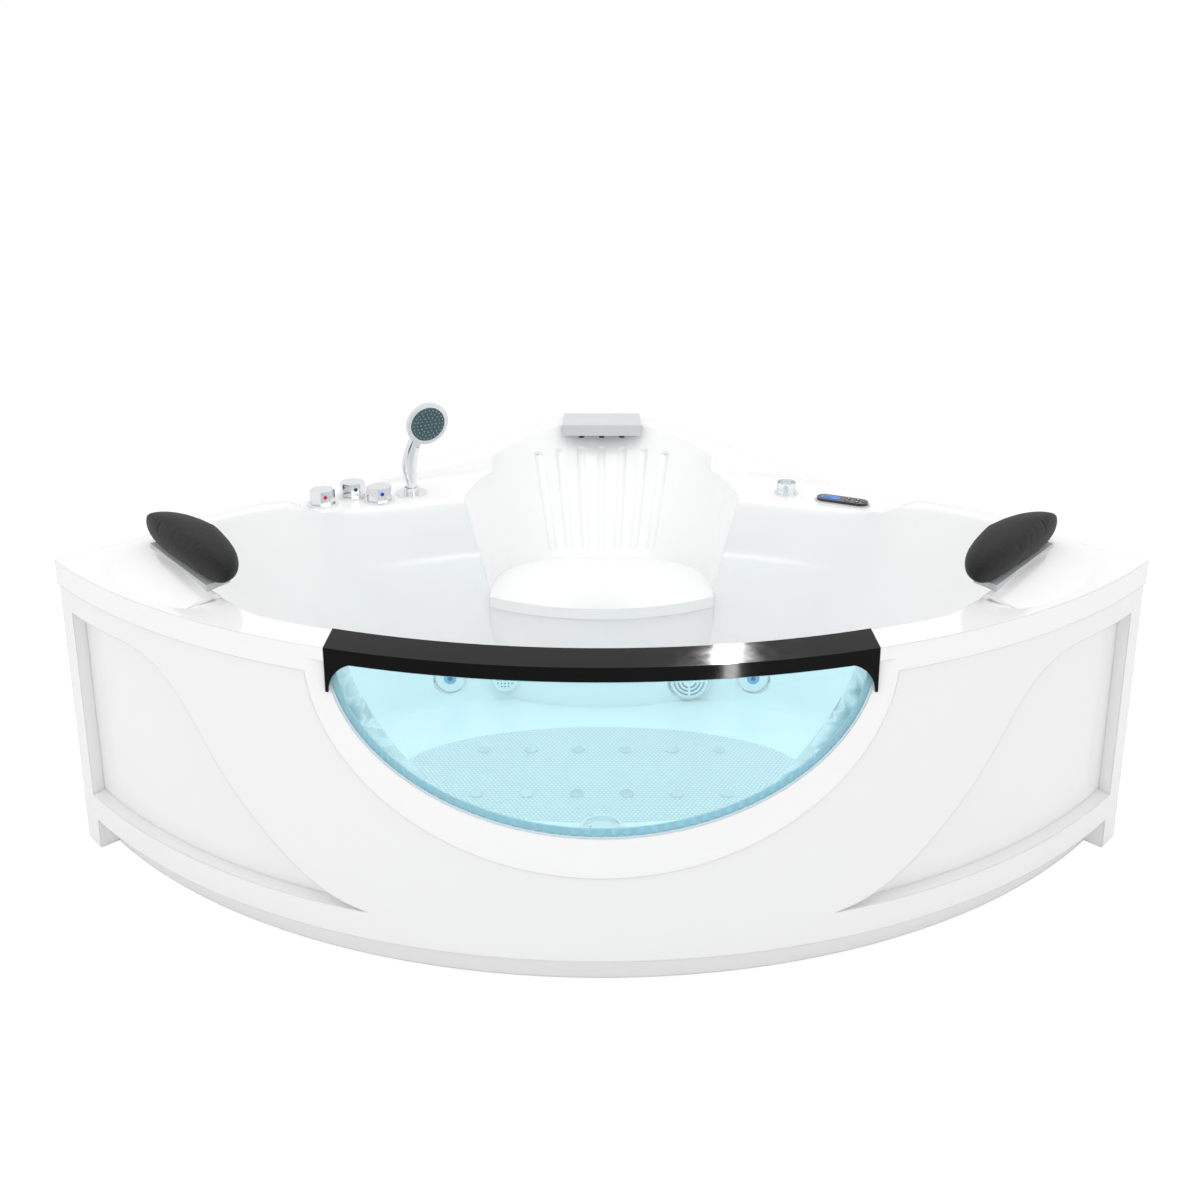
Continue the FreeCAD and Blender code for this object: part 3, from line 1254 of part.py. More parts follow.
air_r = size("air_pipe_radius")
loop_x = -330 * scale
loop_start = blower_mid + Vector(0, 0, blower_outlet_z) + blower_out * (size("blower_radius") + 20)
turn_off = abs(loop_start.x - (-280 * scale))
loop_points = [
    loop_start,
    loop_start + Vector(-turn_off, -turn_off, 0),
    Vector(loop_x, loop_start.y - turn_off, loop_start.z),
    Vector(loop_x, loop_start.y - turn_off, 480),
    Vector(loop_x, loop_start.y - turn_off - 60, 480),
    Vector(loop_x, loop_start.y - turn_off - 60, rail_z),
    Vector(loop_x, row_y[1] - 16, rail_z),
]
air_loop = tube_route(loop_points, air_r, 0, 25)
air_rails = [Part.makeCylinder(air_r - 1, pitch * 2.5 + 30 - loop_x, Vector(loop_x, y, rail_z), RIGHTWARD)
             for y in row_y]
node("air_loop", freeform("air_loop", air_loop.fuse(air_rails)))

# ---------------------------------------------------------------- tap water
valve_low = deck_z - skin - VALVE_DROP
SUPPLY_LOW = 200.0
SUPPLY_SHIFT = 52.0
inward = (from_wall(0, 1) - from_wall(0, 0)).normalize()
supplies = []
for place, shift in ((hot_tap, SUPPLY_SHIFT), (cold_tap, 0.0)):
    low = Vector(place.x, place.y, SUPPLY_LOW) + inward * shift
    top = Vector(place.x, place.y, valve_low)
    route = [top, low]
    if shift:
        route = [top, top - Vector(0, 0, 50), low + Vector(0, 0, 130), low]
    pipe = tube_route(route, size("supply_radius"), 0, 25)
    socket = Part.makeCylinder(14, 22, low)
    thread = Part.makeCylinder(9.3, 15, low)
    supplies.append(pipe.fuse(socket).cut(thread))
node("water_supplies", freeform("water_supplies", Part.makeCompound(supplies)))


def link(first, second, level):
    """Short pipe between two valve bodies."""
    start = Vector(first.x, first.y, level)
    along = Vector(second.x - first.x, second.y - first.y, 0)
    length = along.Length
    along.normalize()
    trim = size("valve_radius") + gap
    return Part.makeCylinder(7, length - 2 * trim, start + along * trim, along)


link_z = valve_low + 22
links = Part.makeCompound([link(hot_tap, diverter_tap, link_z), link(cold_tap, diverter_tap, link_z)])
node("mixing_pipes", freeform("mixing_pipes", links))
spout_z = 440.0
spout_side = Vector(diverter_tap.x + 68 * scale, diverter_tap.y, spout_z)
run = (from_corner(0, 133).y - spout_side.y)
spout_points = [
    Vector(diverter_tap.x, diverter_tap.y, valve_low),
    Vector(diverter_tap.x, diverter_tap.y, spout_z),
    spout_side,
    Vector(spout_side.x + run * 0.86, spout_side.y + run * 0.86, spout_z),
    Vector(0, spout_feed.y, spout_z),
    Vector(0, spout_feed.y, corner_z),
]
node("spout_supply", freeform("spout_supply", tube_route(spout_points, size("supply_radius"), 0, 25)))

# ---------------------------------------------------------------- electric control
case = wall_box((SIDE_POST - 25, SIDE_POST + 135), (beam_mid + tube / 2, beam_mid + tube / 2 + 45), 250, 430)
glands = [Part.makeCylinder(9, 14, from_wall(SIDE_POST + 10 + 35 * index, beam_mid + tube / 2 + 22, 236))
          for index in range(4)]
node("control_box", freeform("control_box", mirrored(case.fuse(glands))))

doc.recompute()
bad = [obj.Name for obj in doc.Objects if "Invalid" in obj.State or "Error" in obj.State]
if bad:
    raise RuntimeError("objects did not recompute: %s" % ", ".join(bad))
os.makedirs("parts", exist_ok=True)
for label, obj in nodes:
    if obj.Shape.isNull() or not obj.Shape.isValid() or not obj.Shape.Solids:
        raise RuntimeError("%s has no valid solid" % label)
    obj.Shape.exportStep("parts/%s.step" % label)
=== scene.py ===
"""Corner jetted bath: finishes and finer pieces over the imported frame, in metres."""

from __future__ import annotations

import json
import logging
import math
from dataclasses import dataclass
from enum import Enum
from typing import Any, Sequence

import bmesh
import bpy
from mathutils import Euler, Matrix, Vector

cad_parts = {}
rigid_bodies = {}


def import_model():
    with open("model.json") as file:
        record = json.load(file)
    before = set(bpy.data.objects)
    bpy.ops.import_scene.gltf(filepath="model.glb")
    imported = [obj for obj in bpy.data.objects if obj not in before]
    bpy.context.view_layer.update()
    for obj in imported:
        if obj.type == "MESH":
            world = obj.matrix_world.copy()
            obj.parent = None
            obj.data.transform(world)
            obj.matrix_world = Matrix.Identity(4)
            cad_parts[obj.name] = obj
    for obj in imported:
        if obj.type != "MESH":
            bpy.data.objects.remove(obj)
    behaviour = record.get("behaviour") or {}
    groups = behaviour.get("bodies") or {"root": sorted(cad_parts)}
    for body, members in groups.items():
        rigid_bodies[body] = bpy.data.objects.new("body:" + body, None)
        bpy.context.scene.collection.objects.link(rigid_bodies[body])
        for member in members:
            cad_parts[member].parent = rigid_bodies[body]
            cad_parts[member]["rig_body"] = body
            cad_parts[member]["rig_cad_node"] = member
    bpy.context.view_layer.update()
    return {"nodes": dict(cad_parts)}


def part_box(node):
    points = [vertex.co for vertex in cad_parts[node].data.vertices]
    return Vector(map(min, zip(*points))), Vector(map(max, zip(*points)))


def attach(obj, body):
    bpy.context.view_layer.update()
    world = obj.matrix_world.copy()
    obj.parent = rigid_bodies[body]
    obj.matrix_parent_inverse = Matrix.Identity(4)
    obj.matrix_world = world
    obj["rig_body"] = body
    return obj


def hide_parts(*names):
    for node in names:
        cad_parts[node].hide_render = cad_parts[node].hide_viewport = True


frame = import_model()

log = logging.getLogger("corner_bath")

Colour = tuple[float, float, float]


# --------------------------------------------------------------------------- shader tools


class Channel:
    """A value socket that takes part in Python arithmetic and adds a Math node for each step."""

    def __init__(self, graph: Graph, socket: bpy.types.NodeSocket) -> None:
        """Wraps one output socket.

        Args:
            graph: The graph that holds the socket.
            socket: The output socket that carries the value.
        """
        self.graph = graph
        self.socket = socket

    def math(self, operation: str, *others: Channel | float, first: bool = True) -> Channel:
        """Adds one Math node.

        Args:
            operation: The Math node's operation.
            others: The other inputs, as channels or numbers.
            first: Whether this channel is the first input.

        Returns:
            The result as a channel.
        """
        values = [self, *others] if first else [*others, self]
        node = self.graph.node("ShaderNodeMath", {"operation": operation}, dict(enumerate(values)))
        return Channel(self.graph, node.outputs[0])

    def __add__(self, other: Channel | float) -> Channel:
        """Sum."""
        return self.math("ADD", other)

    def __radd__(self, other: float) -> Channel:
        """Sum, reflected."""
        return self.math("ADD", other)

    def __sub__(self, other: Channel | float) -> Channel:
        """Difference."""
        return self.math("SUBTRACT", other)

    def __rsub__(self, other: float) -> Channel:
        """Difference, reflected."""
        return self.math("SUBTRACT", other, first=False)

    def __mul__(self, other: Channel | float) -> Channel:
        """Product."""
        return self.math("MULTIPLY", other)

    def __rmul__(self, other: float) -> Channel:
        """Product, reflected."""
        return self.math("MULTIPLY", other)

    def __truediv__(self, other: Channel | float) -> Channel:
        """Quotient."""
        return self.math("DIVIDE", other)

    def __lt__(self, other: Channel | float) -> Channel:
        """1 where this channel is less."""
        return self.math("LESS_THAN", other)

    def __abs__(self) -> Channel:
        """Distance from zero."""
        return self.math("ABSOLUTE")

    def wrap(self, size: float) -> Channel:
        """Repeats from 0 to size."""
        return self.math("WRAP", size, 0.0)

    def least(self, other: Channel | float) -> Channel:
        """The smaller of two."""
        return self.math("MINIMUM", other)

    def most(self, other: Channel | float) -> Channel:
        """The larger of two."""
        return self.math("MAXIMUM", other)

    def ramp(self, low: float, high: float) -> Channel:
        """A soft step.

        Args:
            low: Where the step starts.
            high: Where the step ends.

        Returns:
            A channel from 0 below low to 1 above high.
        """
        settings = {"interpolation_type": "SMOOTHSTEP"}
        inputs = {"Value": self, "From Min": low, "From Max": high}
        node = self.graph.node("ShaderNodeMapRange", settings, inputs)
        return Channel(self.graph, node.outputs["Result"])


class Graph:
    """The node tree of a material or of the sky."""

    def __init__(self, owner: bpy.types.Material | bpy.types.World) -> None:
        """Starts with an empty tree.

        Args:
            owner: The material or world that holds the tree.
        """
        owner.use_nodes = True
        self.tree = owner.node_tree
        self.tree.nodes.clear()

    def node(
        self, kind: str, settings: dict[str, Any] | None = None, inputs: dict[Any, Any] | None = None
    ) -> bpy.types.Node:
        """Adds one node.

        Args:
            kind: The node's type.
            settings: Its settings, which are set first.
            inputs: Values, channels or sockets for its inputs, by name or number.

        Returns:
            The new node.
        """
        node = self.tree.nodes.new(kind)
        for key, value in (settings or {}).items():
            setattr(node, key, value)
        for key, value in (inputs or {}).items():
            socket = node.inputs[key]
            if isinstance(value, Channel):
                self.tree.links.new(value.socket, socket)
            elif isinstance(value, bpy.types.NodeSocket):
                self.tree.links.new(value, socket)
            elif isinstance(value, tuple) and len(value) == 3 and len(socket.default_value) == 4:
                socket.default_value = (*value, 1.0)
            else:
                socket.default_value = value
        return node

    def channel(self, node: bpy.types.Node, output: str) -> Channel:
        """Takes a node's output into arithmetic.

        Args:
            node: A node of this tree.
            output: The output's name.

        Returns:
            The output as a channel.
        """
        return Channel(self, node.outputs[output])


class Recipe(Graph):
    """One finish in the making: its material and the patterns it is mixed from."""

    def __init__(self, name: str) -> None:
        """Starts an empty material.

        Args:
            name: The material's name.
        """
        self.material = bpy.data.materials.new(name)
        super().__init__(self.material)
        self.place = self.node("ShaderNodeTexCoord").outputs["Object"]

    def axes(self) -> tuple[Channel, Channel, Channel]:
        """The place on the piece.

        Returns:
            X, Y and Z in metres.
        """
        node = self.node("ShaderNodeSeparateXYZ", None, {0: self.place})
        return tuple(Channel(self, node.outputs[n]) for n in range(3))

    def noise(
        self, size: float, detail: float = 2.0, rough: float = 0.5, place: bpy.types.NodeSocket | None = None
    ) -> Channel:
        """Cloudy pattern.

        Args:
            size: The size of its clouds, in metres.
            detail: Layers of finer clouds.
            rough: Strength of the finer layers.
            place: The vector it reads, or the place on the piece.

        Returns:
            Values about 0.5.
        """
        inputs = {"Vector": place or self.place, "Scale": 1.0 / size, "Detail": detail, "Roughness": rough}
        return Channel(self, self.node("ShaderNodeTexNoise", None, inputs).outputs[0])

    def cells(self, size: float, place: bpy.types.NodeSocket | None = None) -> bpy.types.Node:
        """Scattered cells.

        Args:
            size: The size of a cell, in metres.
            place: The vector it reads, or the place on the piece.

        Returns:
            The node, whose Distance runs out from each cell's middle and whose Color differs by cell.
        """
        inputs = {"Vector": place or self.place, "Scale": 1.0 / size}
        return self.node("ShaderNodeTexVoronoi", None, inputs)

    def stretched(self, scale: tuple[float, float, float]) -> bpy.types.NodeSocket:
        """The place on the piece, stretched.

        Args:
            scale: Scale along each axis.

        Returns:
            The vector's socket.
        """
        return self.node("ShaderNodeMapping", None, {"Vector": self.place, "Scale": scale}).outputs[0]

    def blend(self, factor: Channel | float, low: Any, high: Any) -> bpy.types.NodeSocket:
        """Mixes two colours.

        Args:
            factor: 0 for low, 1 for high.
            low: First colour or socket.
            high: Second colour or socket.

        Returns:
            The colour's socket.
        """
        node = self.node("ShaderNodeMix", {"data_type": "RGBA"}, {0: factor, 6: low, 7: high})
        return node.outputs[2]

    def relief(
        self, height: Channel, depth: float, under: bpy.types.NodeSocket | None = None
    ) -> bpy.types.NodeSocket:
        """Bump from a height.

        Args:
            height: Height from 0 to 1.
            depth: The height of 1, in metres.
            under: A bump that this one lies on.

        Returns:
            The normal's socket.
        """
        inputs: dict[str, Any] = {"Height": height, "Distance": depth, "Strength": 1.0}
        if under is not None:
            inputs["Normal"] = under
        return self.node("ShaderNodeBump", None, inputs).outputs[0]

    def finish(self, **sockets: Any) -> bpy.types.Material:
        """Closes the material with one Principled shader.

        Args:
            sockets: Values or links by socket name, with _ for a space.

        Returns:
            The finished material.
        """
        inputs = {name.replace("_", " "): value for name, value in sockets.items()}
        shader = self.node("ShaderNodeBsdfPrincipled", None, inputs)
        self.node("ShaderNodeOutputMaterial", None, {"Surface": shader.outputs[0]})
        return self.material


# --------------------------------------------------------------------------- finishes


@dataclass(frozen=True)
class Acrylic:
    """Polished sanitary acrylic, with the anti-slip honeycomb in the foot well."""

    name: str
    shade: Colour = (0.95, 0.95, 0.95)
    edge: float = 0.005
    wave: float = 0.0004
    honeycomb: bool = False
    cell: float = 0.0088
    groove: float = 0.0009
    # Colour factor of the painted shade in the honeycomb's grooves.
    painted_groove_shade: float = 0.76
    pad_middle: tuple[float, float] = (0.0, -0.265)
    pad_half: tuple[float, float] = (0.42, 0.186)
    floor_height: float = 0.152

    def material(self) -> bpy.types.Material:
        """Builds the material.

        Returns:
            Gloss white with a slight waviness, and the honeycomb where it is wanted, its grooves and the pad
            darkened with painted shade.
        """
        recipe = Recipe(self.name)
        wave = recipe.noise(0.09, 1.0)
        soft = recipe.node("ShaderNodeBevel", {"samples": 6}, {"Radius": self.edge}).outputs[0]
        normal = recipe.relief(wave, self.wave, soft)
        rough = 0.1 + 0.05 * recipe.noise(0.03)
        colour: Any = recipe.blend(recipe.noise(0.25, 1.0), self.shade, tuple(0.985 * s for s in self.shade))
        if self.honeycomb:
            mask = self.pad(recipe)
            comb = self.comb(recipe)
            # Painted shade: the honeycomb's grooves are darkened most, and the whole pad a little, as if
            # shaded.
            dark = tuple(self.painted_groove_shade * s for s in self.shade)
            normal = recipe.relief(comb * mask, self.groove, normal)
            rough = rough + mask * 0.08
            colour = recipe.blend(mask * (1.0 - 0.7 * comb), colour, dark)
        return recipe.finish(Base_Color=colour, Roughness=rough, Normal=normal, IOR=1.49, Coat_Weight=0.25)

    def pad(self, recipe: Recipe) -> Channel:
        """The oval of the foot well that is patterned.

        Args:
            recipe: The recipe being mixed.

        Returns:
            1 inside the oval on the floor.
        """
        x, y, z = recipe.axes()
        across = (x - self.pad_middle[0]) / self.pad_half[0]
        along = (y - self.pad_middle[1]) / self.pad_half[1]
        inside = 1.0 - (across * across + along * along).ramp(0.985, 1.0)
        return inside * (z < self.floor_height)

    def comb(self, recipe: Recipe) -> Channel:
        """Hexagonal cells, from two interleaved grids of points.

        Args:
            recipe: The recipe being mixed.

        Returns:
            1 at a cell's middle and 0 on its border.
        """
        x, y, _ = recipe.axes()
        root = math.sqrt(3.0)
        wide = self.cell
        deep = self.cell * root
        away = 10.0
        distances = []
        for shift in (away, away + 0.5):
            u = abs((x + shift * wide).wrap(wide) - wide / 2.0)
            v = abs((y + shift * deep).wrap(deep) - deep / 2.0)
            distances.append(u.most(u * 0.5 + v * (root / 2.0)))
        nearest = distances[0].least(distances[1]) / (wide / 2.0)
        return 1.0 - nearest.ramp(0.66, 0.92)


@dataclass(frozen=True)
class Plastic:
    """Moulded plastic with a fine grain."""

    name: str
    shade: Colour
    rough: float = 0.35
    grain: float = 0.0011
    depth: float = 0.00006
    coat: float = 0.0
    specular: float = 0.5

    def material(self) -> bpy.types.Material:
        """Builds the material.

        Returns:
            A plastic whose colour and gloss vary slightly over its grain.
        """
        recipe = Recipe(self.name)
        grain = recipe.noise(self.grain, 3.0, 0.6)
        cloud = recipe.noise(0.05, 2.0)
        colour = recipe.blend(cloud, self.shade, tuple(0.9 * s for s in self.shade))
        rough = self.rough + 0.12 * (cloud - 0.5) + 0.08 * (grain - 0.5)
        normal = recipe.relief(grain, self.depth)
        return recipe.finish(
            Base_Color=colour,
            Roughness=rough,
            Normal=normal,
            Coat_Weight=self.coat,
            Specular_IOR_Level=self.specular,
        )


@dataclass(frozen=True)
class Metal:
    """Plated, drawn or turned metal."""

    name: str
    shade: Colour
    rough: float = 0.06
    smudge: float = 0.05
    brushed: tuple[float, float, float] | None = None
    depth: float = 0.00004

    def material(self) -> bpy.types.Material:
        """Builds the material.

        Returns:
            A metal with faint handling marks, and brush lines where they are asked for.
        """
        recipe = Recipe(self.name)
        marks = recipe.noise(0.02, 3.0, 0.65)
        colour = recipe.blend(marks, self.shade, tuple(0.93 * s for s in self.shade))
        rough = self.rough + self.smudge * marks
        if self.brushed is None:
            normal = recipe.relief(recipe.noise(0.012, 1.0), self.depth)
        else:
            lines = recipe.noise(0.001, 2.0, 0.6, recipe.stretched(self.brushed))
            normal = recipe.relief(lines, self.depth)
            rough = rough + 0.1 * (lines - 0.5)
        return recipe.finish(Base_Color=colour, Roughness=rough, Metallic=1.0, Normal=normal)


@dataclass(frozen=True)
class Spangle:
    """Galvanised or primed steel with a crystal spangle and a few scuffs."""

    name: str
    shade: Colour
    metallic: float = 0.85
    rough: float = 0.42
    flake: float = 0.007

    def material(self) -> bpy.types.Material:
        """Builds the material.

        Returns:
            Steel whose flakes differ slightly in tone.
        """
        recipe = Recipe(self.name)
        cells = recipe.cells(self.flake)
        parts = recipe.node("ShaderNodeSeparateColor", None, {"Color": cells.outputs["Color"]})
        tone = recipe.channel(parts, "Red")
        scuffs = recipe.noise(0.035, 4.0, 0.7).ramp(0.58, 0.7)
        colour = recipe.blend(tone, self.shade, tuple(0.8 * s for s in self.shade))
        colour = recipe.blend(scuffs * 0.35, colour, tuple(0.55 * s for s in self.shade))
        rough = self.rough + 0.14 * (tone - 0.5) + 0.1 * scuffs
        normal = recipe.relief(recipe.noise(0.004, 2.0), 0.00012)
        return recipe.finish(Base_Color=colour, Roughness=rough, Metallic=self.metallic, Normal=normal)


@dataclass(frozen=True)
class Foam:
    """Charcoal head-rest foam: a fine leathery skin, mottled, with a brushed nap."""

    name: str = "head_rest_foam"
    dark: Colour = (0.008, 0.008, 0.0088)
    light: Colour = (0.018, 0.018, 0.0194)
    streak: float = 0.006
    speck: float = 0.0013
    pore: float = 0.0021
    relief: float = 0.0007

    def material(self) -> bpy.types.Material:
        """Builds the material.

        Returns:
            A dark foam skin with streaked mottling and pores.
        """
        recipe = Recipe(self.name)
        streak = recipe.noise(self.streak, 5.0, 0.72, recipe.stretched((0.55, 0.55, 2.0)))
        speck = recipe.noise(self.speck, 3.0, 0.6)
        pores = recipe.channel(recipe.cells(self.pore), "Distance").ramp(0.12, 0.5)
        mix = (streak.ramp(0.36, 0.66) * 0.7 + speck * 0.3) * (0.55 + 0.45 * pores)
        colour = recipe.blend(mix, self.dark, self.light)
        rough = 0.62 + 0.2 * (streak - 0.5)
        normal = recipe.relief(streak * 0.5 + speck * 0.25 + pores * 0.35, self.relief)
        return recipe.finish(
            Base_Color=colour,
            Roughness=rough,
            Normal=normal,
            Sheen_Weight=0.06,
            Sheen_Roughness=0.4,
            Specular_IOR_Level=0.2,
        )


@dataclass(frozen=True)
class Glass:
    """Clear or tinted glass, or clear plastic."""

    name: str
    tint: Colour
    rough: float = 0.0
    index: float = 1.45
    # Strength of a painted glow in the glass's tint; the glass is no lamp.
    painted_glow: float = 0.0

    def material(self) -> bpy.types.Material:
        """Builds the material.

        Returns:
            A transmitting material with faint drying marks, and a faint painted glow in its tint that
            brightens it.
        """
        recipe = Recipe(self.name)
        marks = recipe.noise(0.05, 4.0, 0.7).ramp(0.55, 0.8)
        rough = self.rough + 0.015 * marks
        normal = recipe.relief(recipe.noise(0.3, 0.0), 0.0002)
        return recipe.finish(
            Base_Color=self.tint,
            Roughness=rough,
            Normal=normal,
            IOR=self.index,
            Transmission_Weight=1.0,
            # Painted light: the glass glows faintly in its own tint, which brightens it though it gives no
            # light of its own.
            Emission_Color=self.tint,
            Emission_Strength=self.painted_glow,
        )


@dataclass(frozen=True)
class Board:
    """Pressed wood-chip board with a sawn edge."""

    name: str = "chip_board"
    pale: Colour = (0.56, 0.42, 0.27)
    dark: Colour = (0.30, 0.19, 0.10)
    chip: float = 0.011
    fibre: float = 0.004

    def material(self) -> bpy.types.Material:
        """Builds the material.

        Returns:
            A board of pale chips among darker ones.
        """
        recipe = Recipe(self.name)
        layers = recipe.cells(self.chip, recipe.stretched((1.0, 1.0, 3.0)))
        chips = recipe.channel(layers, "Distance")
        fibre = recipe.noise(self.fibre, 4.0, 0.7, recipe.stretched((1.0, 0.35, 1.0)))
        colour = recipe.blend(chips.ramp(0.25, 0.75) * 0.7 + fibre * 0.3, self.pale, self.dark)
        normal = recipe.relief(chips * 0.5 + fibre * 0.5, 0.0005)
        return recipe.finish(Base_Color=colour, Roughness=0.7 + 0.2 * (fibre - 0.5), Normal=normal)


@dataclass(frozen=True)
class Glow:
    """A lit part of the key panel."""

    name: str
    shade: Colour
    strength: float = 1.0
    ripple: float = 0.004

    def material(self) -> bpy.types.Material:
        """Builds the material.

        Returns:
            A lit face, brighter towards its lamps.
        """
        recipe = Recipe(self.name)
        glow = recipe.noise(self.ripple, 1.0).ramp(0.2, 0.8)
        colour = recipe.blend(glow, tuple(0.7 * s for s in self.shade), self.shade)
        return recipe.finish(
            Base_Color=tuple(0.2 * s for s in self.shade),
            Roughness=0.2 + 0.1 * glow,
            Emission_Color=colour,
            Emission_Strength=self.strength,
        )


class Finish(Enum):
    """Every finish on the bath."""

    ACRYLIC = Acrylic("polished_acrylic", honeycomb=True)
    # The apron is the shell's acrylic made a shade darker: painted shade for its upright face.
    APRON = Acrylic("apron_acrylic", (0.91, 0.91, 0.91))
    RAIL = Plastic("rail_black_gloss", (0.002, 0.002, 0.0022), 0.1, 0.02, 0.00002, 0.0, 0.09)
    PANEL = Plastic("key_panel_black", (0.008, 0.008, 0.009), 0.12, 0.01, 0.00002, 0.3)
    # The window glass carries a faint painted glow that brightens it.
    GLASS = Glass("window_glass_blue", (0.62, 0.93, 1.0), painted_glow=0.065)
    SEAL = Plastic("seal_silicone", (0.40, 0.66, 0.75), 0.25, 0.003, 0.00004, 0.3)
    FOAM = Foam()
    GREY = Plastic("satin_grey_plastic", (0.62, 0.63, 0.64), 0.32)
    SPOUT = Plastic("spout_grey_plastic", (0.66, 0.67, 0.68), 0.2, 0.004, 0.00003, 0.2)
    BLACK = Plastic("satin_black_plastic", (0.02, 0.02, 0.021), 0.3)
    CHROME = Metal("polished_chrome", (0.86, 0.87, 0.88))
    BRASS = Metal("turned_brass", (0.76, 0.58, 0.27), 0.22, 0.12, (1.0, 1.0, 12.0))
    KNOB = Glass("frosted_clear_plastic", (0.9, 0.95, 0.97), 0.25)
    DISPLAY = Glow("display_blue", (0.05, 0.24, 0.85), 0.9)
    BUTTON = Plastic("button_face", (0.02, 0.02, 0.022), 0.25)
    PIPE = Plastic("white_pipe", (0.84, 0.84, 0.82), 0.3, 0.002, 0.00005)
    NOZZLE = Plastic("jet_nozzle_blue", (0.04, 0.42, 0.78), 0.2, 0.004, 0.00003, 0.4)
    STEEL = Spangle("galvanised_steel", (0.50, 0.51, 0.52))
    FOOT = Plastic("foot_black_plastic", (0.025, 0.025, 0.025), 0.5)
    ZINC = Spangle("zinc_plate", (0.66, 0.67, 0.68), 0.95, 0.3, 0.003)
    BOARD = Board()
    MOTOR = Plastic("motor_paint", (0.045, 0.055, 0.07), 0.4, 0.002, 0.0002)
    HOSE = Glass("translucent_hose", (0.86, 0.9, 0.92), 0.3)
    BLOWER = Plastic("blower_plastic", (0.04, 0.04, 0.045), 0.48, 0.0012, 0.00015)
    COPPER = Metal("drawn_copper", (0.80, 0.42, 0.27), 0.2, 0.2, (1.0, 1.0, 6.0))
    SPRAY = Plastic("spray_plate_green_grey", (0.045, 0.10, 0.12), 0.35)
    NUB = Plastic("nozzle_rubber", (0.30, 0.38, 0.42), 0.45)
    RED = Plastic("index_red", (0.75, 0.02, 0.02), 0.3)
    BLUE = Plastic("index_blue", (0.02, 0.06, 0.7), 0.3)
    SLATE = Plastic("index_slate", (0.03, 0.05, 0.12), 0.3)
    MARK_WHITE = Glow("mark_white", (0.85, 0.9, 1.0), 0.9)
    MARK_RED = Glow("mark_red", (0.9, 0.03, 0.03), 0.9)
    MARK_DARK = Plastic("display_segments", (0.004, 0.01, 0.05), 0.4)

    @property
    def look(self) -> bpy.types.Material:
        """The material, built once."""
        found = bpy.data.materials.get(self.value.name)
        return found or self.value.material()


NODE_FINISH: dict[str, Finish] = {
    "tub_shell": Finish.ACRYLIC,
    "front_apron": Finish.APRON,
    "handrail": Finish.RAIL,
    "window_glass": Finish.GLASS,
    "window_seal": Finish.SEAL,
    "pillow_left": Finish.FOAM,
    "pillow_right": Finish.FOAM,
    "pillow_mounts": Finish.GREY,
    "waterfall_spout": Finish.SPOUT,
    "spout_nozzles": Finish.BLACK,
    "tap_escutcheons": Finish.CHROME,
    "tap_valves": Finish.BRASS,
    "hot_handle": Finish.CHROME,
    "diverter_handle": Finish.CHROME,
    "cold_handle": Finish.CHROME,
    "hand_shower": Finish.CHROME,
    "spray_plate": Finish.SPRAY,
    "shower_holder": Finish.CHROME,
    "air_valve": Finish.CHROME,
    "air_knob": Finish.KNOB,
    "keypad_bezel": Finish.GREY,
    "keypad_panel": Finish.PANEL,
    "keypad_display": Finish.DISPLAY,
    "jet_ring_left": Finish.CHROME,
    "jet_ring_right": Finish.CHROME,
    "jet_nozzle_left": Finish.NOZZLE,
    "jet_nozzle_right": Finish.NOZZLE,
    "jet_bodies": Finish.PIPE,
    "strainer_cap": Finish.CHROME,
    "strainer_body": Finish.PIPE,
    "suction_cover": Finish.CHROME,
    "suction_body": Finish.PIPE,
    "floor_air_jets": Finish.CHROME,
    "drain_flange": Finish.CHROME,
    "drain_plug": Finish.CHROME,
    "waste_trap": Finish.PIPE,
    "steel_frame": Finish.STEEL,
    "levelling_feet": Finish.FOOT,
    "foot_lock_nuts": Finish.ZINC,
    "base_board": Finish.BOARD,
    "support_pads": Finish.BOARD,
    "apron_brackets": Finish.ZINC,
    "apron_screws": Finish.ZINC,
    "equipment_tray": Finish.ZINC,
    "pump_motor": Finish.MOTOR,
    "pump_housing": Finish.BLACK,
    "suction_pipe": Finish.PIPE,
    "pressure_manifold": Finish.PIPE,
    "air_control_pipe": Finish.HOSE,
    "air_blower": Finish.BLOWER,
    "air_loop": Finish.PIPE,
    "water_supplies": Finish.COPPER,
    "mixing_pipes": Finish.COPPER,
    "spout_supply": Finish.PIPE,
    "control_box": Finish.GREY,
    **{f"keypad_button_{number}": Finish.BUTTON for number in range(1, 6)},
}


# --------------------------------------------------------------------------- modelling tools


def clear_selection() -> None:
    """Leaves edit mode and deselects everything."""
    if bpy.context.object is not None and bpy.context.object.mode != "OBJECT":
        bpy.ops.object.mode_set(mode="OBJECT")
    bpy.ops.object.select_all(action="DESELECT")


def take(piece: bpy.types.Object) -> None:
    """Makes one piece the only one selected, and active.

    Args:
        piece: The piece to work on.
    """
    clear_selection()
    piece.select_set(True)
    bpy.context.view_layer.objects.active = piece


def settle(piece: bpy.types.Object) -> None:
    """Puts a piece's place and turn into its mesh.

    Args:
        piece: The piece whose object goes to the origin.
    """
    take(piece)
    bpy.ops.object.transform_apply(location=True, rotation=True, scale=True)


def modify(piece: bpy.types.Object, kind: str, **settings: Any) -> None:
    """Adds a modifier and applies it at once.

    Args:
        piece: The piece it goes on.
        kind: The modifier's type.
        settings: The modifier's settings.
    """
    take(piece)
    modifier = piece.modifiers.new(kind.lower(), kind)
    for key, value in settings.items():
        setattr(modifier, key, value)
    bpy.ops.object.modifier_apply(modifier=modifier.name)


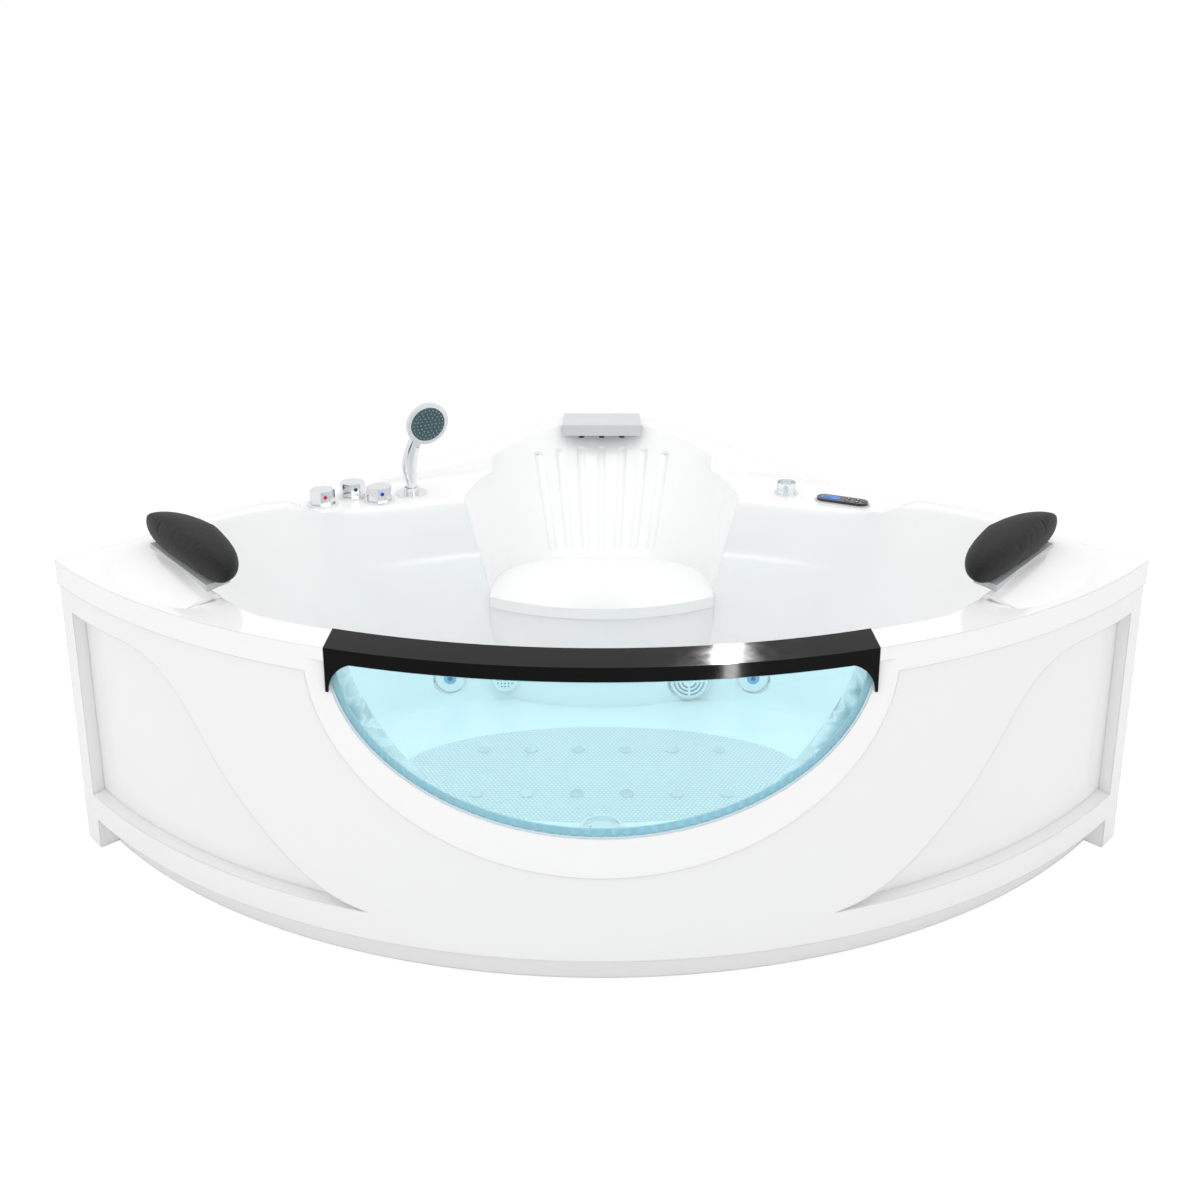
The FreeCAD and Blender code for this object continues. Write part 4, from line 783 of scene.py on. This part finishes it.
def tidy_mesh(piece: bpy.types.Object, merge: float = 1e-5) -> None:
    """Merges doubles and turns the faces outwards.

    Args:
        piece: The piece whose mesh is tidied.
        merge: Points nearer than this become one, in metres.
    """
    take(piece)
    bpy.ops.object.mode_set(mode="EDIT")
    bpy.ops.mesh.select_all(action="SELECT")
    bpy.ops.mesh.remove_doubles(threshold=merge)
    bpy.ops.mesh.normals_make_consistent(inside=False)
    bpy.ops.object.mode_set(mode="OBJECT")


def smooth(piece: bpy.types.Object, angle: float = 35.0) -> None:
    """Shades a piece smooth across edges flatter than an angle.

    Args:
        piece: The piece.
        angle: The angle, in degrees.
    """
    take(piece)
    bpy.ops.object.shade_smooth_by_angle(angle=math.radians(angle))


def name_piece(piece: bpy.types.Object, name: str, finish: Finish) -> bpy.types.Object:
    """Names and finishes a piece.

    Args:
        piece: The piece.
        name: Its name.
        finish: Its finish.

    Returns:
        The same piece.
    """
    piece.name = name
    piece.data.name = name
    piece.data.materials.clear()
    piece.data.materials.append(finish.look)
    return piece


def gather(pieces: Sequence[bpy.types.Object]) -> bpy.types.Object:
    """Joins pieces into one.

    Args:
        pieces: The pieces, of which the first is kept.

    Returns:
        The joined piece.
    """
    clear_selection()
    for piece in pieces:
        piece.select_set(True)
    bpy.context.view_layer.objects.active = pieces[0]
    bpy.ops.object.join()
    return pieces[0]


def seat(piece: bpy.types.Object, slot: str, body: str, *nodes: str) -> None:
    """Seats a finished piece on its body and hides the nodes that it stands for.

    Args:
        piece: The finished piece, in place.
        slot: The record slot of its finish. Not used.
        body: The body it rides on.
        nodes: CAD nodes that it replaces.
    """
    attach(piece, body)
    if nodes:
        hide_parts(*nodes)
    log.info("%s: %d faces on %s", piece.name, len(piece.data.polygons), body)


def turned(
    name: str, profile: Sequence[tuple[float, float]], middle: Vector, axis: Vector, steps: int = 48
) -> bpy.types.Object:
    """Turns a profile round an axis, as on a lathe.

    Args:
        name: The piece's name.
        profile: Radius and height points, both ends on the axis.
        middle: Where height 0 stands.
        axis: The direction of height.
        steps: Faces round the turn.

    Returns:
        A closed piece.
    """
    clear_selection()
    bpy.ops.mesh.primitive_plane_add(size=0.001)
    piece = bpy.context.object
    piece.name = name
    mesh = bmesh.new()
    points = [mesh.verts.new((radius, 0.0, height)) for radius, height in profile]
    for first, second in zip(points, points[1:]):
        mesh.edges.new((first, second))
    mesh.to_mesh(piece.data)
    mesh.free()
    take(piece)
    bpy.ops.object.mode_set(mode="EDIT")
    bpy.ops.mesh.select_all(action="SELECT")
    bpy.ops.mesh.spin(steps=steps, angle=math.tau, center=(0, 0, 0), axis=(0, 0, 1))
    bpy.ops.object.mode_set(mode="OBJECT")
    tidy_mesh(piece)
    piece.matrix_world = Matrix.Translation(middle) @ axis.to_track_quat("Z", "Y").to_matrix().to_4x4()
    settle(piece)
    return piece


SHADING = "solid_shading"
SOLID_MERGE = 2e-5
SOLID_SMOOTHING = 32.0


def copied(node: str, name: str, finish: Finish) -> bpy.types.Object:
    """Copies a solid of the frame into a piece of its own, with its points merged.

    Args:
        node: The solid's name.
        name: The piece's name.
        finish: The piece's finish.

    Returns:
        The copy.
    """
    piece = frame["nodes"][node].copy()
    piece.data = piece.data.copy()
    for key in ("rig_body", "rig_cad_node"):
        if key in piece:
            del piece[key]
    bpy.context.scene.collection.objects.link(piece)
    name_piece(piece, name, finish)
    remember_shading(piece)
    tidy_mesh(piece, SOLID_MERGE)
    return piece


def remember_shading(piece: bpy.types.Object) -> None:
    """Notes the smooth shading of each corner of a piece's faces, so that a merge keeps it.

    Args:
        piece: The piece, before its points are merged.
    """
    layer = piece.data.attributes.new(SHADING, "FLOAT_VECTOR", "CORNER")
    layer.data.foreach_set("vector", [part for corner in piece.data.corner_normals for part in corner.vector])


def restore_shading(piece: bpy.types.Object, moved: set[int]) -> None:
    """Gives each corner its noted shading again, apart from the faces that were reshaped.

    Args:
        piece: The piece.
        moved: The numbers of the points that were moved.
    """
    smooth(piece, SOLID_SMOOTHING)
    mesh = piece.data
    layer = mesh.attributes[SHADING]
    normals = [Vector(corner.vector) for corner in layer.data]
    for face in mesh.polygons:
        if not moved.isdisjoint(face.vertices):
            for corner in face.loop_indices:
                normals[corner] = Vector()
    mesh.attributes.remove(layer)
    mesh.normals_split_custom_set(normals)


# --------------------------------------------------------------------------- shell


@dataclass
class WindowSill:
    """The bath shell, whose sill behind the glass falls away to the foot well."""

    half_width: float = 0.438
    drop: float = 0.27
    top: float = 0.581
    fall: float = 0.15
    run: float = 0.158
    glass_radius: float = 1.4276
    glass_inset: float = 0.014
    skin: float = 0.008
    slack: float = 0.001

    def build(self) -> None:
        """Builds and seats the shell."""
        piece = copied("tub_shell", "bath_shell", Finish.ACRYLIC)
        low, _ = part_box("front_apron")
        axis_y = low.y + self.glass_radius + self.glass_inset
        moved = set()
        normals = [vertex.normal.copy() for vertex in piece.data.vertices]
        for vertex, normal in zip(piece.data.vertices, normals):
            inward = self.glass_radius - math.hypot(vertex.co.x, vertex.co.y - axis_y)
            if abs(vertex.co.x) < self.half_width and 0.0 < inward < self.run:
                under = self.skin if normal.y + normal.z < 0.0 else 0.0
                if self.lower(vertex, inward / self.run, under):
                    moved.add(vertex.index)
        log.info("lowered %d points of the sill", len(moved))
        restore_shading(piece, moved)
        seat(piece, "acrylic", "tub", "tub_shell")

    def lower(self, vertex: bpy.types.MeshVertex, share: float, under: float) -> bool:
        """Lowers one point to the slope of the sill where it stands above it.

        Args:
            vertex: The point.
            share: Its way from the glass to the foot of the slope, from 0 to 1.
            under: How far below the slope it lies, for the back of the skin.

        Returns:
            Whether the point moved.
        """
        bow = math.sqrt(1.0 - (vertex.co.x / self.half_width) ** 2)
        flat = self.top - self.drop * bow
        slope = flat - self.fall * share * bow - under
        if slope < vertex.co.z < flat + self.slack:
            vertex.co.z = slope
            return True
        return False


# --------------------------------------------------------------------------- head rests


@dataclass
class HeadRests:
    """The two foam head rests on the shoulders of the rim."""

    voxel: float = 0.005
    shrink: float = 0.0035
    pressure: float = 4.0
    cap: float = 0.007
    frames: int = 20
    smoothing: float = 60.0
    fill: float = 0.7

    def build(self) -> None:
        """Builds and seats both head rests."""
        for side in ("left", "right"):
            piece = self.cushion(f"pillow_{side}", f"head_rest_{side}")
            seat(piece, "pillow_foam", "tub", f"pillow_{side}")

    def cushion(self, node: str, name: str) -> bpy.types.Object:
        """Makes one head rest inside the space that its solid holds.

        Args:
            node: The CAD node it stands for.
            name: The piece's name.

        Returns:
            The finished head rest.
        """
        piece = copied(node, name, Finish.FOAM)
        modify(piece, "DISPLACE", strength=-self.shrink, mid_level=0.0)
        modify(piece, "REMESH", mode="VOXEL", voxel_size=self.voxel)
        self.swell(piece)
        modify(piece, "SUBSURF", levels=1, render_levels=1)
        smooth(piece, self.smoothing)
        return piece

    def swell(self, piece: bpy.types.Object) -> None:
        """Fills the cushion with a cloth simulation, with each point's movement capped.

        Args:
            piece: The remeshed cushion.
        """
        start = [vertex.co.copy() for vertex in piece.data.vertices]
        take(piece)
        cloth = piece.modifiers.new("cloth", "CLOTH")
        cloth.settings.use_pressure = True
        cloth.settings.uniform_pressure_force = self.pressure
        cloth.settings.effector_weights.gravity = 0.0
        cloth.settings.quality = 5
        for number in range(1, self.frames + 1):
            bpy.context.scene.frame_set(number)
        depsgraph = bpy.context.evaluated_depsgraph_get()
        swollen = piece.evaluated_get(depsgraph).to_mesh()
        moved = [vertex.co.copy() for vertex in swollen.vertices]
        piece.evaluated_get(depsgraph).to_mesh_clear()
        piece.modifiers.remove(cloth)
        bpy.context.scene.frame_set(1)
        for vertex, before, after in zip(piece.data.vertices, start, moved):
            step = after - before
            vertex.co = before + step * min(1.0, self.cap / max(step.length, 1e-9))


# --------------------------------------------------------------------------- taps


@dataclass
class TapDots:
    """The coloured index dots on the three tap handles."""

    radius: float = 0.0045
    proud: float = 0.0007
    height: float = 0.617
    face_angle: float = math.radians(-63.0)
    face_out: float = 0.0258
    root: float = 0.0006

    def build(self) -> None:
        """Builds and seats the dots."""
        for tap, finish in (("hot", Finish.RED), ("diverter", Finish.SLATE), ("cold", Finish.BLUE)):
            low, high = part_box(f"{tap}_handle")
            middle = (low + high) / 2.0
            outward = Vector((math.cos(self.face_angle), math.sin(self.face_angle), 0.0))
            place = Vector((middle.x, middle.y, self.height)) + outward * self.face_out
            profile = [
                (0.0, -self.root),
                (self.radius, -self.root),
                (self.radius, self.proud * 0.5),
                (self.radius * 0.8, self.proud),
                (0.0, self.proud * 1.1),
            ]
            dot = turned(f"{tap}_index_dot", profile, place, outward, 24)
            name_piece(dot, f"{tap}_index_dot", finish)
            smooth(dot)
            seat(dot, "button", f"{tap}_tap")


# --------------------------------------------------------------------------- hand shower


@dataclass
class SprayFace:
    """The rubber nozzles in rings on the spray plate."""

    facing: tuple[float, float, float] = (0.52, -0.82, -0.21)
    rings: tuple[tuple[float, int], ...] = ((0.0, 1), (0.009, 6), (0.018, 12), (0.027, 18), (0.035, 24))
    radius: float = 0.0017
    height: float = 0.0022
    root: float = 0.001

    def build(self) -> None:
        """Builds and seats the nozzles."""
        low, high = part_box("spray_plate")
        outward = Vector(self.facing).normalized()
        middle = (low + high) / 2.0 + outward * self.root
        across = outward.cross(Vector((0.0, 0.0, 1.0))).normalized()
        up = across.cross(outward)
        profile = [
            (0.0, -self.root),
            (self.radius, -self.root),
            (self.radius * 0.8, self.height * 0.8),
            (self.radius * 0.5, self.height),
            (0.0, self.height),
        ]
        first = turned("spray_nozzles", profile, Vector(), outward, 10)
        nozzles = []
        for radius, count in self.rings:
            for number in range(count):
                turn = math.tau * number / count
                nozzle = first.copy()
                nozzle.data = first.data.copy()
                bpy.context.scene.collection.objects.link(nozzle)
                place = middle + across * radius * math.cos(turn) + up * radius * math.sin(turn)
                nozzle.data.transform(Matrix.Translation(place))
                nozzles.append(nozzle)
        bpy.data.objects.remove(first)
        piece = gather(nozzles)
        name_piece(piece, "spray_nozzles", Finish.NUB)
        smooth(piece, 40.0)
        seat(piece, "button", "shower")


# --------------------------------------------------------------------------- key panel


@dataclass
class KeyMarks:
    """The lit marks on the five keys and the segments in the display."""

    radius: float = 0.0019
    proud: float = 0.0003
    bars: tuple[tuple[float, float, float], ...] = (
        (-0.014, 0.002, 0.006),
        (-0.005, 0.002, 0.006),
        (0.004, 0.002, 0.006),
        (0.014, 0.002, 0.004),
        (-0.006, -0.005, 0.02),
    )
    bar_width: float = 0.0022
    bar_height: float = 0.0005
    turn: float = math.radians(-26.0)
    root: float = 0.0004

    def build(self) -> None:
        """Builds and seats the marks and the segments."""
        profile = [
            (0.0, -self.root),
            (self.radius, -self.root),
            (self.radius * 0.9, self.proud),
            (0.0, self.proud),
        ]
        for number in range(1, 6):
            low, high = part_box(f"keypad_button_{number}")
            place = Vector(((low.x + high.x) / 2.0, (low.y + high.y) / 2.0, high.z))
            mark = turned(f"key_mark_{number}", profile, place, Vector((0.0, 0.0, 1.0)), 20)
            name_piece(mark, f"key_mark_{number}", Finish.MARK_RED if number == 5 else Finish.MARK_WHITE)
            seat(mark, "button", f"button_{number}")
        self.segments()

    def segments(self) -> None:
        """Lays the dark segments on the display."""
        low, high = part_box("keypad_display")
        middle = (low + high) / 2.0
        bars = []
        for along, across, length in self.bars:
            clear_selection()
            bpy.ops.mesh.primitive_cube_add(size=1.0)
            bar = bpy.context.object
            bar.scale = (length, self.bar_width, self.bar_height)
            bar.rotation_euler = Euler((0.0, 0.0, self.turn))
            step = Vector((along, across, 0.0))
            step.rotate(Euler((0.0, 0.0, self.turn)))
            bar.location = (middle.x + step.x, middle.y + step.y, high.z)
            settle(bar)
            bars.append(bar)
        piece = gather(bars)
        name_piece(piece, "display_segments", Finish.MARK_DARK)
        seat(piece, "button", "tub")


# --------------------------------------------------------------------------- studio


@dataclass(frozen=True)
class Lamp:
    """One soft lamp: where it hangs, what it faces, its size and its power."""

    name: str
    place: tuple[float, float, float]
    target: tuple[float, float, float]
    size: tuple[float, float]
    watts: float
    only: str = ""

    def hang(self) -> None:
        """Hangs the lamp, and keeps its light to one solid where that is named."""
        light = bpy.data.lights.new(self.name, "AREA")
        light.shape = "RECTANGLE"
        light.size, light.size_y = self.size
        light.energy = self.watts
        lamp = bpy.data.objects.new(self.name, light)
        bpy.context.scene.collection.objects.link(lamp)
        lamp.location = self.place
        lamp.rotation_euler = (Vector(self.target) - Vector(self.place)).to_track_quat("-Z", "Y").to_euler()
        lamp.visible_camera = False
        if self.only:
            lit = bpy.data.collections.new(f"{self.name}_lit")
            lit.objects.link(frame["nodes"][self.only])
            lamp.light_linking.receiver_collection = lit


@dataclass
class Studio:
    """The floor, the light and the camera."""

    floor_half: float = 7.0
    eye: tuple[float, float, float] = (0.0, -2.526, 1.469)
    pitch: float = 14.65
    lens: float = 36.72
    shift: tuple[float, float] = (-0.0014, -0.1496)
    sky: float = 0.92
    backdrop: float = 1.02
    floor_white: float = 0.8
    floor_glow: float = 1.1
    lamps: tuple[Lamp, ...] = (
        Lamp("overhead", (0.0, -0.4, 3.2), (0.0, -0.1, 0.3), (2.2, 2.2), 16.0),
        Lamp("front_left", (-2.4, -2.6, 2.6), (0.0, 0.0, 0.3), (1.2, 1.0), 7.0),
        Lamp("front_right", (2.4, -2.8, 2.2), (0.0, 0.0, 0.3), (1.2, 1.0), 4.0),
        Lamp("rail_glint_top", (0.56, 2.5, 2.2), (0.2, -0.7, 0.6), (0.06, 0.3), 18.0, "handrail"),
        Lamp("rail_glint_front", (0.46, -1.35, 0.28), (0.2, -0.76, 0.56), (0.05, 0.6), 6.0, "handrail"),
    )

    def build(self) -> None:
        """Builds the whole studio."""
        self.floor()
        self.world()
        for lamp in self.lamps:
            lamp.hang()
        self.camera()
        settings = bpy.context.scene.view_settings
        settings.view_transform = "Standard"

    def floor(self) -> None:
        """Lays the floor and gives it a white that keeps the shadow."""
        clear_selection()
        bpy.ops.mesh.primitive_plane_add(size=2.0 * self.floor_half, location=(0.0, 0.0, 0.0))
        floor = bpy.context.object
        floor.name = "studio_floor"
        recipe = Recipe("studio_floor")
        speck = recipe.noise(0.4, 2.0)
        colour = recipe.blend(speck, (0.93, 0.93, 0.93), (0.9, 0.9, 0.9))
        shader = recipe.node("ShaderNodeBsdfPrincipled", None, {"Base Color": colour, "Roughness": 0.8})
        glow = {"Color": (1.0, 1.0, 1.0), "Strength": self.floor_glow}
        white = recipe.node("ShaderNodeEmission", None, glow)
        seen = recipe.channel(recipe.node("ShaderNodeLightPath"), "Is Camera Ray")
        inputs = {0: seen * self.floor_white, 1: shader.outputs[0], 2: white.outputs[0]}
        mix = recipe.node("ShaderNodeMixShader", None, inputs)
        recipe.node("ShaderNodeOutputMaterial", None, {"Surface": mix.outputs[0]})
        floor.data.materials.append(recipe.material)

    def world(self) -> None:
        """Sets a plain white sky that lights softly and is seen as white."""
        world = bpy.data.worlds.new("studio_sky")
        bpy.context.scene.world = world
        graph = Graph(world)
        path = graph.node("ShaderNodeLightPath")
        camera = graph.channel(path, "Is Camera Ray")
        seen = camera.most(graph.channel(path, "Is Transmission Ray"))
        level = seen * (self.backdrop - self.sky) + self.sky
        sky = graph.node("ShaderNodeBackground", None, {"Color": (1.0, 1.0, 1.0), "Strength": level})
        graph.node("ShaderNodeOutputWorld", None, {"Surface": sky.outputs[0]})

    def camera(self) -> None:
        """Places the camera at the picture's viewpoint."""
        data = bpy.data.cameras.new("view")
        data.sensor_width = 36.0
        data.lens = self.lens
        data.shift_x, data.shift_y = self.shift
        camera = bpy.data.objects.new("view", data)
        bpy.context.scene.collection.objects.link(camera)
        camera.location = self.eye
        camera.rotation_euler = Euler((math.radians(90.0 - self.pitch), 0.0, 0.0))
        bpy.context.scene.camera = camera


# --------------------------------------------------------------------------- the bath


def dress_nodes() -> None:
    """Gives every solid of the frame its finish."""
    for name, node in frame["nodes"].items():
        finish = NODE_FINISH[name]
        node.data.materials.clear()
        node.data.materials.append(finish.look)
    log.info("dressed %d solids", len(frame["nodes"]))


def main() -> None:
    """Dresses the solids, builds the finer pieces and sets the studio."""
    logging.basicConfig(level=logging.INFO, format="%(name)s: %(message)s")
    dress_nodes()
    WindowSill().build()
    HeadRests().build()
    TapDots().build()
    SprayFace().build()
    KeyMarks().build()
    Studio().build()


if __name__ == "__main__":
    main()
